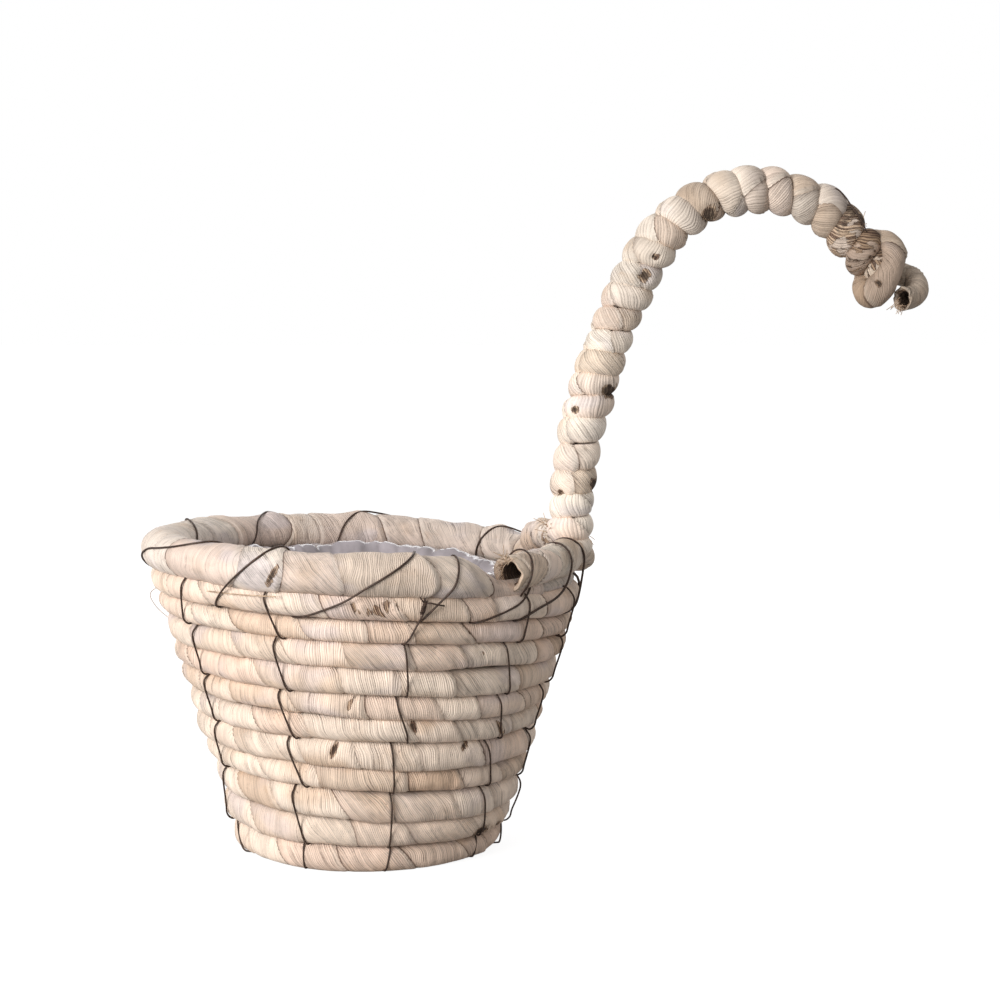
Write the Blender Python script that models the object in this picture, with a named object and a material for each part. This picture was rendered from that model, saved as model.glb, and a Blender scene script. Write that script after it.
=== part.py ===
"""Hanging basket planter: stacked hoops of wrapped rope, bound with wire, with a hooked rope handle.

Metres, +Z up. The basket's axis is Z and it stands on z = 0. The hook leans out towards +X, and the
front is -Y. An angle round the basket is counted from the front, positive towards the handle.
"""

import math

import bmesh
import bpy
import numpy as np

# Clearances, and the finish of round shapes
SEAT = 0.0003
WELD_GAP = SEAT / 30
TURN_GAP = 0.00055
SHARP_ANGLE = math.radians(50)
ROUND_CORNER_SHARE = 1 - math.sqrt(1 / 2)

# Rope hoops of the wall
ROW_COUNT = 11
ROW_ROPE_RADIUS = 0.0067
TOP_ROW_RADIUS = 0.1070
BASE_ROW_RADIUS = 0.0655
ROW_SIDES = 8
ROUND_STEPS = 32

# Rolled rim
RIM_OUTSET = 0.0010
RIM_ROPE_RADIUS = 0.0120
RIM_THIN_RADIUS = 0.0037
RIM_STEPS = 72
RIM_THIN_START = math.radians(48)
RIM_THIN_END = math.radians(98)
RIM_TAPER = math.radians(20)

# Coiled base
BASE_ROPE_RADIUS = 0.0067
BASE_BUTTON_RADIUS = 0.0080
BASE_BUTTON_HEIGHT = 0.0110
BASE_END_RADIUS = 0.0016
BASE_TURN_STEPS = 20

# Binding wire
WIRE_RADIUS = 0.0007
WIRE_SIDES_RESOLUTION = 1
WIRE_TOP = math.radians(90)
WIRE_SHOULDER = math.radians(55)
WIRE_CREST = math.radians(20)
WIRE_BACK = math.radians(35)
WIRE_UNDER_STEPS = 5
STAKE_ANGLES = [math.radians(a) for a in (-57, -22, 14, 49, 75, 111, 147, 183, 219, 255)]
RIM_WRAP_STEPS = 12
TANGENT_SEARCH_STEPS = 20
TAIL_WRAP_COUNT = 3
TAIL_WRAP_START = math.radians(55)
TAIL_WRAP_END = math.radians(69)
ROD_TIE_STEPS = 9
ROD_TIE_HALF_WIDTH = 0.0070

# Film liner
LINER_WALL = 0.0008
LINER_FLOOR_FILLET = 0.0050
LINER_RIM_DROP = 0.0060

# Handle: steel rod core
HANDLE_ANGLE = math.radians(90)
ROD_RADIUS = 0.00225
HANDLE_FOOT_LEAN = math.radians(8)
HANDLE_HEAD_LEAN = math.radians(21.5)
HANDLE_FOOT_OUTSET = 0.0012
HANDLE_FOOT_RISE = 0.0146
HANDLE_STAND = 0.1425
HANDLE_STAND_STEPS = 6
HOOK_RISE_RADIUS = 0.0710
HOOK_FALL_RADIUS = 0.0720
HOOK_FALL_SWEEP = math.radians(66)
ROD_ARC_STEP = math.radians(7)
ROD_BEND_STEPS = 4

# Handle: rope wound in hitches round the rod
HANDLE_OUTER_RADIUS = 0.0130
HITCH_PITCH = 0.01435
HITCH_STEPS = 10
HITCH_SIDES = 8
HITCH_START_DROP = 0.0050

# Handle: knot at the hook's tip, and the rope's tail on the rim
KNOT_ROPE_RADIUS = 0.0068
KNOT_LENGTH = 0.0250
KNOT_DRAW_SHARE = 0.5
KNOT_CLOSE_SHARE = 0.75
KNOT_TIP_LENGTH = 0.0120
KNOT_STEPS = 12
TAIL_ROPE_RADIUS = 0.0078
TAIL_START = math.radians(49)
TAIL_STEPS = 12
TAIL_MOUTH_DEPTH = 0.0060
TAIL_HUSK_WALL = 0.0016

# Worked out from the sizes above
RIM_RING_RADIUS = TOP_ROW_RADIUS + RIM_OUTSET
WIRE_LANE = 2 * WIRE_RADIUS + 4 * SEAT
WIRE_OFFSET = WIRE_LANE / 2
ROW_SPACING = 2 * ROW_ROPE_RADIUS + SEAT
TOP_ROW_SPACING = 2 * ROW_ROPE_RADIUS + WIRE_LANE
WALL_RUN = (ROW_COUNT - 2) * ROW_SPACING + TOP_ROW_SPACING
WALL_TILT = math.asin((TOP_ROW_RADIUS - BASE_ROW_RADIUS) / WALL_RUN)
WALL_UP = np.array([math.sin(WALL_TILT), math.cos(WALL_TILT)])
WALL_OUT = np.array([math.cos(WALL_TILT), -math.sin(WALL_TILT)])
BASE_ROW_HEIGHT = ROW_ROPE_RADIUS + WIRE_OFFSET + WIRE_RADIUS + SEAT
LINER_STANDOFF = WIRE_LANE + 2 * ROD_RADIUS


def row_centre(row):
    """(radius, height) of a hoop's section, counted from 1 at the base."""
    along = (row - 1) * ROW_SPACING
    if row == ROW_COUNT:
        along = WALL_RUN
    return np.array([BASE_ROW_RADIUS, BASE_ROW_HEIGHT]) + along * WALL_UP


RIM_SEAT_HEIGHT = row_centre(ROW_COUNT)[1] + ROW_ROPE_RADIUS + WIRE_LANE


def rim_radius(angle):
    """The rim roll's own radius: full, and drawn in where the rope's tail lies on it."""
    rise = np.clip((angle - RIM_THIN_START + RIM_TAPER) / RIM_TAPER, 0, 1)
    fall = np.clip((RIM_THIN_END + RIM_TAPER - angle) / RIM_TAPER, 0, 1)
    thin_share = (rise * rise * (3 - 2 * rise)) * (fall * fall * (3 - 2 * fall))
    return RIM_ROPE_RADIUS + (RIM_THIN_RADIUS - RIM_ROPE_RADIUS) * thin_share


def around(angle, radius, height):
    """The point at an angle round the basket, at a radius and a height."""
    return np.array([radius * math.sin(angle), -radius * math.cos(angle), height])


def clear_scene():
    for obj in list(bpy.data.objects):
        bpy.data.objects.remove(obj, do_unlink=True)


def material(name, colour, roughness, metallic=0.0):
    made = bpy.data.materials.new(name)
    made.use_nodes = True
    shader = made.node_tree.nodes["Principled BSDF"]
    shader.inputs["Base Color"].default_value = (*colour, 1.0)
    shader.inputs["Roughness"].default_value = roughness
    shader.inputs["Metallic"].default_value = metallic
    return made


def link(name, data, finish):
    obj = bpy.data.objects.new(name, data)
    bpy.context.scene.collection.objects.link(obj)
    obj.data.materials.append(finish)
    return obj


def mesh_object(name, bm, finish):
    """Turns a bmesh into a linked object with outward faces and smooth round sides."""
    bmesh.ops.recalc_face_normals(bm, faces=bm.faces)
    mesh = bpy.data.meshes.new(name)
    bm.to_mesh(mesh)
    bm.free()
    mesh.shade_smooth()
    mesh.set_sharp_from_angle(angle=SHARP_ANGLE)
    return link(name, mesh, finish)


def loft(name, rings, finish, closed=False):
    """Skins a list of rings, each an array of points in the same order, and caps the open ends."""
    bm = bmesh.new()
    made = [[bm.verts.new(point) for point in ring] for ring in rings]
    pairs = list(zip(made[:-1], made[1:]))
    if closed:
        pairs.append((made[-1], made[0]))
    for low, high in pairs:
        for side in range(len(low)):
            after = (side + 1) % len(low)
            bm.faces.new((low[side], low[after], high[after], high[side]))
    if not closed:
        bm.faces.new(made[0])
        bm.faces.new(made[-1])
    return mesh_object(name, bm, finish)


def turned(name, profile, steps, finish):
    """Spins a profile of (radius, height) points round the basket's axis."""
    bm = bmesh.new()
    verts = [bm.verts.new((radius, 0, height)) for radius, height in profile]
    edges = [bm.edges.new(pair) for pair in zip(verts, verts[1:] + verts[:1])]
    bmesh.ops.spin(
        bm, geom=verts + edges, cent=(0, 0, 0), axis=(0, 0, 1), angle=math.tau, steps=steps
    )
    bmesh.ops.remove_doubles(bm, verts=bm.verts, dist=WELD_GAP)
    bmesh.ops.dissolve_degenerate(bm, edges=bm.edges, dist=WELD_GAP)
    return mesh_object(name, bm, finish)


def circle(centre, radius, sides, start):
    """Points of a section circle, as (radius, height) pairs, the first at an angle above outwards."""
    angles = start + math.tau * np.arange(sides) / sides
    return np.array(centre) + radius * np.stack([np.cos(angles), np.sin(angles)], axis=1)


def wire(name, points, radius, resolution, finish, closed=False):
    """A round wire or rod along points, as a curve with a bevel and filled caps."""
    curve = bpy.data.curves.new(name, "CURVE")
    curve.dimensions = "3D"
    curve.bevel_depth = radius
    curve.bevel_resolution = resolution
    curve.use_fill_caps = not closed
    spline = curve.splines.new("POLY")
    spline.points.add(len(points) - 1)
    for spot, point in zip(spline.points, points):
        spot.co = (*point, 1.0)
    spline.use_cyclic_u = closed
    spline.use_smooth = True
    return link(name, curve, finish)


def widest(circles, way):
    """Which of the section circles reaches furthest in a direction."""
    outward = np.array([math.cos(way), math.sin(way)])
    return int(np.argmax([float(centre @ outward) + radius for centre, radius in circles]))


def wrap_loop(circles_at, start, count):
    """A wire's turn pulled tight round section circles: (share of the turn, point) pairs.

    circles_at gives the circles at a share of the turn. Where the wire leaves one circle for the next,
    it runs straight between the two points of their common tangent.
    """
    turn = []
    shares = np.arange(count + 1) / count
    for here, after in zip(shares[:-1], shares[1:]):
        first = widest(circles_at(here), start + math.tau * here)
        last = widest(circles_at(after), start + math.tau * after)
        turn.append((here, first))
        if first != last:
            low, high = here, after
            for _ in range(TANGENT_SEARCH_STEPS):
                middle = (low + high) / 2
                if widest(circles_at(middle), start + math.tau * middle) == first:
                    low = middle
                else:
                    high = middle
            turn += [(low, first), (high, last)]
    points = []
    for share, chosen in turn:
        centre, radius = circles_at(share)[chosen]
        way = start + math.tau * share
        points.append((share, centre + (radius + WIRE_OFFSET) * np.array([math.cos(way), math.sin(way)])))
    return points


# Wall, rim and base


def build_rows(finish):
    """The wall: hoops of wrapped rope, each seated on the one below."""
    upward = math.atan2(WALL_UP[1], WALL_UP[0])
    for row in range(1, ROW_COUNT + 1):
        profile = circle(row_centre(row), ROW_ROPE_RADIUS, ROW_SIDES, upward)
        turned(f"coil_row_{row:02d}", profile, ROUND_STEPS, finish)


def rim_section(angle):
    """The rim roll's section at an angle round the basket: its centre and its radius."""
    radius = rim_radius(angle)
    return np.array([RIM_RING_RADIUS, RIM_SEAT_HEIGHT + radius]), radius


def build_rim(finish):
    """The rolled rim, seated on the top row with room for the binding wires."""
    rings = []
    for angle in math.tau * np.arange(RIM_STEPS) / RIM_STEPS:
        centre, radius = rim_section(angle)
        profile = circle(centre, radius, ROW_SIDES, math.pi / 2)
        rings.append([around(angle, *point) for point in profile])
    loft("rim_coil", rings, finish, closed=True)


def base_outer_radius():
    """The base coil's edge, inside the wires that pass up from under the lowest row."""
    return BASE_ROW_RADIUS - ROW_ROPE_RADIUS - WIRE_OFFSET - WIRE_RADIUS - SEAT


def build_base(finish):
    """One rope coiled flat from the centre button out, tapered at both ends so that the disc is full."""
    pitch = 2 * BASE_ROPE_RADIUS + TURN_GAP
    inner = BASE_BUTTON_RADIUS + TURN_GAP / 2
    turns = (base_outer_radius() + TURN_GAP / 2 - inner) / pitch + 1
    start = (2 * BASE_END_RADIUS + TURN_GAP) / pitch
    count = int(round((turns - 2 * start) * BASE_TURN_STEPS))
    # A section with a flat side down stands on its flats, which lie this share of the radius below centre.
    flat_share = math.cos(math.pi / ROW_SIDES)
    rings = []
    for turn in np.linspace(start, turns - start, count + 1):
        low = inner + pitch * max(turn - 1, 0)
        high = inner + pitch * min(turn, turns - 1)
        radius = (high - low - TURN_GAP) / 2
        centre = ((high + low) / 2, radius * flat_share)
        profile = circle(centre, radius, ROW_SIDES, math.pi / ROW_SIDES)
        rings.append([around(math.tau * turn, *point) for point in profile])
    loft("base_coil", rings, finish)
    bulge = BASE_BUTTON_HEIGHT / 4
    button = [
        (0, 0),
        (BASE_BUTTON_RADIUS - bulge, 0),
        (BASE_BUTTON_RADIUS, bulge),
        (BASE_BUTTON_RADIUS, BASE_BUTTON_HEIGHT - 2 * bulge),
        (BASE_BUTTON_RADIUS - 2 * bulge, BASE_BUTTON_HEIGHT),
        (0, BASE_BUTTON_HEIGHT),
    ]
    turned("base_button", button, BASE_TURN_STEPS, finish)
    print_turn_gap("base_coil", rings, BASE_TURN_STEPS)


def print_turn_gap(name, rings, turn_steps):
    """Measures the least distance between points of a tube's skin that lie half a turn or more apart."""
    skin = np.array(rings)
    apart = turn_steps // 2
    least = math.inf
    for index in range(len(skin) - apart):
        later = skin[index + apart :].reshape(-1, 3)
        gaps = np.linalg.norm(skin[index][:, None] - later[None], axis=2)
        least = min(least, float(gaps.min()))
    print(f"{name}: least gap between turns {least * 1000:.2f} mm")


# Liner


def wall_inner(height):
    """Radius of the line along the inner crests of the rows, at a height."""
    crest = row_centre(1) - ROW_ROPE_RADIUS * WALL_OUT
    return crest[0] + (height - crest[1]) * math.tan(WALL_TILT)


def build_liner(finish):
    """The film liner: a thin open cup that stands on the base coil, clear of the rod and the wires."""
    floor = 2 * BASE_ROPE_RADIUS * math.cos(math.pi / ROW_SIDES) + SEAT
    top = RIM_SEAT_HEIGHT + RIM_ROPE_RADIUS - LINER_RIM_DROP
    standoff = LINER_STANDOFF / math.cos(WALL_TILT)
    corner = wall_inner(floor + LINER_FLOOR_FILLET) - standoff
    brim_height = row_centre(ROW_COUNT)[1]
    under_rim = RIM_RING_RADIUS - RIM_ROPE_RADIUS - WIRE_LANE
    brim = min(wall_inner(brim_height) - standoff, under_rim)
    easing = LINER_FLOOR_FILLET * ROUND_CORNER_SHARE
    outer = [
        (0, floor),
        (corner - LINER_FLOOR_FILLET, floor),
        (corner - easing, floor + easing),
        (corner, floor + LINER_FLOOR_FILLET),
        (brim, brim_height),
        (brim, top),
    ]
    inner = [
        (brim - LINER_WALL, top),
        (brim - LINER_WALL, brim_height),
        (corner - LINER_WALL, floor + LINER_FLOOR_FILLET),
        (corner - LINER_FLOOR_FILLET, floor + LINER_WALL),
        (0, floor + LINER_WALL),
    ]
    turned("liner", outer + inner, ROUND_STEPS, finish)


# Handle


def quarter_curve(start, start_way, end, end_way, count):
    """Points of a smooth bend between two places, leaving and arriving in the given directions."""
    reach = np.linalg.norm(end - start) / 3
    near = start + reach * start_way
    far = end - reach * end_way
    t = np.linspace(0, 1, count)[:, None]
    return (1 - t) ** 3 * start + 3 * (1 - t) ** 2 * t * near + 3 * (1 - t) * t**2 * far + t**3 * end


def arc(centre, radius, first, last, step):
    """Points of an arc in the plane of the handle, from the first angle to the last."""
    count = max(2, int(math.ceil(abs(last - first) / step)) + 1)
    angles = np.linspace(first, last, count)
    return centre + radius * np.stack([np.cos(angles), np.sin(angles)], axis=1)


def rod_route():
    """The rod's centre line as (x, z) points, and the index of the point where the upright starts."""
    thin = RIM_SEAT_HEIGHT + 2 * RIM_THIN_RADIUS
    foot = np.array([RIM_RING_RADIUS + HANDLE_FOOT_OUTSET, thin + HANDLE_FOOT_RISE])
    upward = np.array([math.sin(HANDLE_FOOT_LEAN), math.cos(HANDLE_FOOT_LEAN)])
    inset = (ROD_RADIUS + SEAT) / math.cos(WALL_TILT)
    base_top = 2 * BASE_ROPE_RADIUS * math.cos(math.pi / ROW_SIDES)
    leg_low = base_top + SEAT + ROD_RADIUS * math.sin(WALL_TILT)
    leg_top = row_centre(ROW_COUNT)[1]
    low = np.array([wall_inner(leg_low) - inset, leg_low])
    top = np.array([wall_inner(leg_top) - inset, leg_top])
    side_radius = RIM_RING_RADIUS - RIM_THIN_RADIUS - ROD_RADIUS - 2 * SEAT
    side = np.array([side_radius, RIM_SEAT_HEIGHT + RIM_THIN_RADIUS])
    side_way = (foot - top) / np.linalg.norm(foot - top)
    bend = [
        quarter_curve(top, WALL_UP, side, side_way, ROD_BEND_STEPS)[:-1],
        quarter_curve(side, side_way, foot, upward, ROD_BEND_STEPS + 1)[:-1],
    ]
    # The upright bows gently: its lean grows evenly from the foot to the head, where the hook begins.
    bow = HANDLE_HEAD_LEAN - HANDLE_FOOT_LEAN
    bow_radius = HANDLE_STAND / bow
    foot_inward = np.array([math.cos(HANDLE_FOOT_LEAN), -math.sin(HANDLE_FOOT_LEAN)])
    head_inward = np.array([math.cos(HANDLE_HEAD_LEAN), -math.sin(HANDLE_HEAD_LEAN)])
    foot_turn = math.pi - HANDLE_FOOT_LEAN
    head_turn = math.pi - HANDLE_HEAD_LEAN
    stand = arc(foot + bow_radius * foot_inward, bow_radius, foot_turn, head_turn, bow / HANDLE_STAND_STEPS)
    rise_centre = stand[-1] + HOOK_RISE_RADIUS * head_inward
    fall_centre = rise_centre + np.array([0, HOOK_RISE_RADIUS - HOOK_FALL_RADIUS])
    rise = arc(rise_centre, HOOK_RISE_RADIUS, head_turn, math.pi / 2, ROD_ARC_STEP)
    fall = arc(fall_centre, HOOK_FALL_RADIUS, math.pi / 2, math.pi / 2 - HOOK_FALL_SWEEP, ROD_ARC_STEP)
    before = np.vstack([[low], *bend])
    return np.vstack([before, stand, rise[1:], fall[1:]]), len(before)


def along_route(route, distances):
    """Points of a flat route at distances along it, with the tangent and the outward normal there."""
    steps = np.linalg.norm(np.diff(route, axis=0), axis=1)
    length = np.concatenate([[0], np.cumsum(steps)])
    inside = np.clip(distances, 0, length[-1])
    spot = np.stack([np.interp(inside, length, route[:, axis]) for axis in (0, 1)], axis=1)
    ways = np.gradient(route, length, axis=0)
    way = np.stack([np.interp(inside, length, ways[:, axis]) for axis in (0, 1)], axis=1)
    way /= np.linalg.norm(way, axis=1, keepdims=True)
    spot += (distances - inside)[:, None] * way
    normal = np.stack([-way[:, 1], way[:, 0]], axis=1)
    return spot, way, normal


def bend_to_route(route, along, across, side):
    """Carries points given as distances along, out from and beside a straight rod onto the bent rod."""
    spot, _, normal = along_route(route, along)
    flat = spot + across[:, None] * normal
    return np.stack([flat[:, 0], side, flat[:, 1]], axis=1)


def hitched_rings(route, start, pitch, turns, steps, rope_radial, rope_axial):
    """Rings of a rope wound round the rod: a helix on the straight rod, bent with it afterwards."""
    winding_radius = ROD_RADIUS + SEAT + rope_radial
    corners = math.tau * (np.arange(HITCH_SIDES) + 0.5) / HITCH_SIDES
    rings = []
    for index in range(int(round(turns * steps)) + 1):
        angle = math.tau * index / steps
        out = winding_radius + rope_radial * np.cos(corners)
        along = start + pitch * index / steps + rope_axial * np.sin(corners)
        rings.append(bend_to_route(route, along, out * math.cos(angle), -out * math.sin(angle)))
    return rings


def build_handle(rod_finish, rope_finish):
    """The rod, the rope hitched round it, and the knot that closes the hook's tip."""
    route, foot = rod_route()
    steps = np.linalg.norm(np.diff(route, axis=0), axis=1)
    foot_length = float(steps[:foot].sum())
    length = float(steps.sum())
    points = [(x, 0, z) for x, z in route]
    wire("handle_rod", points, ROD_RADIUS, 2, rod_finish)
    rope_radial = (HANDLE_OUTER_RADIUS - ROD_RADIUS - SEAT) / 2
    rope_axial = (HITCH_PITCH - TURN_GAP) / 2
    start = foot_length - HITCH_START_DROP
    hitches = int((length - KNOT_LENGTH - start) / HITCH_PITCH)
    rings = hitched_rings(route, start, HITCH_PITCH, hitches, HITCH_STEPS, rope_radial, rope_axial)
    loft("handle_winding", rings, rope_finish)
    print_turn_gap("handle_winding", rings, HITCH_STEPS)
    end = start + HITCH_PITCH * hitches
    print(f"rod length {length * 1000:.0f} mm, {hitches} hitches from {start * 1000:.0f} mm")
    build_knot(route, end, rope_axial, rope_finish)


def build_knot(route, winding_end, rope_axial, finish):
    """The thicker last turns of the rope, which go on from the hitches and draw in over the rod's end."""
    pitch = 2 * KNOT_ROPE_RADIUS + TURN_GAP
    start = winding_end + max(0, KNOT_ROPE_RADIUS + rope_axial + TURN_GAP - min(pitch, HITCH_PITCH))
    winding_radius = ROD_RADIUS + SEAT + KNOT_ROPE_RADIUS
    rod_length = float(np.linalg.norm(np.diff(route, axis=0), axis=1).sum())
    first = 2 * TURN_GAP / (math.tau * winding_radius)
    drawn_from = (rod_length - start) / pitch
    last = drawn_from + KNOT_DRAW_SHARE
    corners = math.tau * (np.arange(HITCH_SIDES) + 0.5) / HITCH_SIDES
    rings = []
    for turn in np.linspace(first, last, int(round((last - first) * KNOT_STEPS)) + 1):
        draw = min(max(turn - drawn_from, 0) / KNOT_DRAW_SHARE, 1)
        draw = draw * draw * (3 - 2 * draw)
        centre = winding_radius * (1 - KNOT_CLOSE_SHARE * draw)
        out = centre + KNOT_ROPE_RADIUS * np.cos(corners)
        along = start + pitch * turn + KNOT_TIP_LENGTH * draw + KNOT_ROPE_RADIUS * np.sin(corners)
        angle = math.tau * turn
        rings.append(bend_to_route(route, along, out * math.cos(angle), -out * math.sin(angle)))
    loft("hook_knot", rings, finish)
    print_turn_gap("hook_knot", rings, KNOT_STEPS)


def build_tail(finish):
    """The rope's tail on the thin part of the rim: its open husk mouth in front, its end by the handle."""
    end = HANDLE_ANGLE - (HANDLE_OUTER_RADIUS + TURN_GAP) / RIM_RING_RADIUS
    rings = []
    for angle in np.linspace(TAIL_START, end, TAIL_STEPS):
        profile = circle(*tail_section(angle), ROW_SIDES, -math.pi / 2)
        rings.append([around(angle, *point) for point in profile])
    centre, radius = tail_section(TAIL_START)
    bore = circle(centre, radius - TAIL_HUSK_WALL, ROW_SIDES, -math.pi / 2)
    deep_angle = TAIL_START + TAIL_MOUTH_DEPTH / RIM_RING_RADIUS
    hollow = [[around(angle, *point) for point in bore] for angle in (deep_angle, TAIL_START)]
    loft("handle_tail", hollow + rings, finish)


def tail_section(angle):
    """The tail's section at an angle round the basket: its centre, seated on the rim, and its radius."""
    rim_centre, rim_size = rim_section(angle)
    rise = rim_size + SEAT + TAIL_ROPE_RADIUS
    return rim_centre + np.array([0, rise]), TAIL_ROPE_RADIUS


# Binding wires


def build_wall_lashing(name, stake_angle, finish):
    """A wire round the whole stack of rows: down the outside, under the base row and up the inside."""
    tilt = -WALL_TILT
    loop = ROW_ROPE_RADIUS + WIRE_OFFSET
    dip = math.sqrt(loop**2 - (ROW_SPACING / 2) ** 2)

    def beside(row, way):
        angle = tilt + way
        return row_centre(row) + loop * np.array([math.cos(angle), math.sin(angle)])

    section = [beside(ROW_COUNT, WIRE_TOP + WALL_TILT)]
    section += [beside(ROW_COUNT, way) for way in (WIRE_SHOULDER, WIRE_CREST)]
    section.append(beside(ROW_COUNT - 1, -WIRE_CREST))
    for row in range(ROW_COUNT - 2, 0, -2):
        groove = (row_centre(row) + row_centre(row + 1)) / 2
        section.append(groove + dip * WALL_OUT)
        section.append(beside(row, WIRE_CREST))
        if row > 1:
            section.append(beside(row - 1, -WIRE_CREST))
    section += [beside(1, -way) for way in np.linspace(WIRE_CREST, math.pi, WIRE_UNDER_STEPS)]
    section += [beside(ROW_COUNT, math.pi), beside(ROW_COUNT, math.pi - WIRE_BACK)]
    points = [around(stake_angle, *point) for point in section]
    wire(name, points, WIRE_RADIUS, WIRE_SIDES_RESOLUTION, finish, closed=True)


def build_rim_lashing(finish):
    """One wire wound slantwise round the rim and the top row, past every stake but those by the tail."""
    row = (row_centre(ROW_COUNT), ROW_ROPE_RADIUS)
    stops = sorted(a % math.tau for a in STAKE_ANGLES)
    first = stops.index(STAKE_ANGLES[5])
    stops = stops[first:] + [a + math.tau for a in stops[:first]]
    # The turn of the wire, from under the row, up the outside, over the rim and down inside, against the
    # share of the way to the next stake at which each quarter is reached.
    turn_shares = [0.0, 0.25, 0.5, 0.75, 1.0]
    stake_shares = [0.28, 0.47, 0.80, 1.08, 1.28]
    points = []
    wraps = [pair for pair in zip(stops[:-1], stops[1:]) if pair[1] < math.tau + STAKE_ANGLES[4]]
    for here, after in wraps:

        def angle_at(share):
            return here + (after - here) * float(np.interp(share, turn_shares, stake_shares))

        def circles_at(share):
            return [row, rim_section(angle_at(share) % math.tau)]

        for share, point in wrap_loop(circles_at, -math.pi / 2 - WALL_TILT, RIM_WRAP_STEPS):
            points.append(around(angle_at(share), *point))
    wire("rim_lashing", points, WIRE_RADIUS, WIRE_SIDES_RESOLUTION, finish)


def build_tail_lashing(finish):
    """One wire wound round the rope's tail and the thin part of the rim under it."""
    points = []
    advance = (TAIL_WRAP_END - TAIL_WRAP_START) / TAIL_WRAP_COUNT
    for turn in range(TAIL_WRAP_COUNT):

        def angle_at(share):
            return TAIL_WRAP_START + (turn + share) * advance

        def circles_at(share):
            return [rim_section(angle_at(share)), tail_section(angle_at(share))]

        for share, point in wrap_loop(circles_at, -math.pi / 2, RIM_WRAP_STEPS):
            points.append(around(angle_at(share), *point))
    wire("tail_lashing", points, WIRE_RADIUS, WIRE_SIDES_RESOLUTION, finish)


def build_rod_tie(finish):
    """A wire loop that ties the rod's leg to the top row, passing slantwise behind the leg."""
    centre = row_centre(ROW_COUNT)
    loop = ROW_ROPE_RADIUS + WIRE_OFFSET
    behind = centre - (ROW_ROPE_RADIUS + SEAT + 2 * ROD_RADIUS + WIRE_OFFSET) * WALL_OUT
    lean = ROD_TIE_HALF_WIDTH / RIM_RING_RADIUS
    points = []
    for way in np.linspace(-math.pi / 2, math.pi / 2, ROD_TIE_STEPS):
        outward = np.array([math.cos(way - WALL_TILT), math.sin(way - WALL_TILT)])
        points.append(around(HANDLE_ANGLE - lean * math.sin(way), *(centre + loop * outward)))
    for side in (-1, 0, 1):
        points.append(around(HANDLE_ANGLE + lean * side, *(behind - side * loop * WALL_UP)))
    wire("rod_tie", points, WIRE_RADIUS, WIRE_SIDES_RESOLUTION, finish, closed=True)


def main():
    clear_scene()
    husk = material("husk", (0.72, 0.62, 0.50), 0.75)
    rim_husk = material("rim_husk", (0.76, 0.67, 0.55), 0.72)
    handle_husk = material("handle_husk", (0.73, 0.65, 0.55), 0.74)
    film = material("film", (0.66, 0.64, 0.64), 0.30)
    binding = material("binding_wire", (0.13, 0.08, 0.06), 0.55, 0.6)
    steel = material("rod_steel", (0.20, 0.17, 0.15), 0.50, 0.9)
    build_base(husk)
    build_rows(husk)
    build_rim(rim_husk)
    build_liner(film)
    build_handle(steel, handle_husk)
    build_tail(handle_husk)
    for number, angle in enumerate(STAKE_ANGLES, start=1):
        build_wall_lashing(f"wall_lashing_{number:02d}", angle, binding)
    build_rim_lashing(binding)
    build_tail_lashing(binding)
    build_rod_tie(binding)


main()
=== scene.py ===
"""Hanging basket planter: the looks of its husk-wrapped ropes, binding wires and film liner.

Metres, +Z up. The basket stands on z = 0 with its axis on Z and its front towards -Y. An angle round the
basket is counted from the front, positive towards the handle at +X.
"""

import math
from functools import partial

import bpy
import numpy as np
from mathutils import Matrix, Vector


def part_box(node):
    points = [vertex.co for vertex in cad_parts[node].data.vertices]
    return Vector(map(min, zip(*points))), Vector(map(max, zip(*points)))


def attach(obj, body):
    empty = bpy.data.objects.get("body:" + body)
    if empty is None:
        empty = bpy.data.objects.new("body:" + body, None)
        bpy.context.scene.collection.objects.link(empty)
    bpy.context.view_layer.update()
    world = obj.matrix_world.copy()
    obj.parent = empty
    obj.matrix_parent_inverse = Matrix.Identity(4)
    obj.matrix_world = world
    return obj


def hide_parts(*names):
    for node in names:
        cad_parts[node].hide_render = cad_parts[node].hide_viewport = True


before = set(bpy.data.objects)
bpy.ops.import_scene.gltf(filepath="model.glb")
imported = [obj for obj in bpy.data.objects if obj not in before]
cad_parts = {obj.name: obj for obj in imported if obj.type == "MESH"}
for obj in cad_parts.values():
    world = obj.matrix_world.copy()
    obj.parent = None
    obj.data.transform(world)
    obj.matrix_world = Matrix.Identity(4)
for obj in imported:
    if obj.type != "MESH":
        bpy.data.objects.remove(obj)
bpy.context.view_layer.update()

bl_info = {
    "name": "Husk Rope Planter",
    "version": (1, 0, 0),
    "blender": (4, 5, 0),
    "location": "View3D > Sidebar > Planter",
    "description": "Dresses a hanging basket planter of husk-wrapped rope",
    "category": "Object",
}

BODY = "root"
ROW_COUNT = 11
TURN = math.tau

# Heights of the grooves between the rows, as shares of the wall's height, from the floor up
ROW_GROOVE_SHARES = (0.0, 0.092, 0.19, 0.298, 0.382, 0.484, 0.568, 0.655, 0.748, 0.838, 0.912, 1.0)

# Angle of each upright wire, in degrees
STAKE_ANGLES = (-57, -22, 14, 49, 75, 111, 147, 183, 219, 255)

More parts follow.
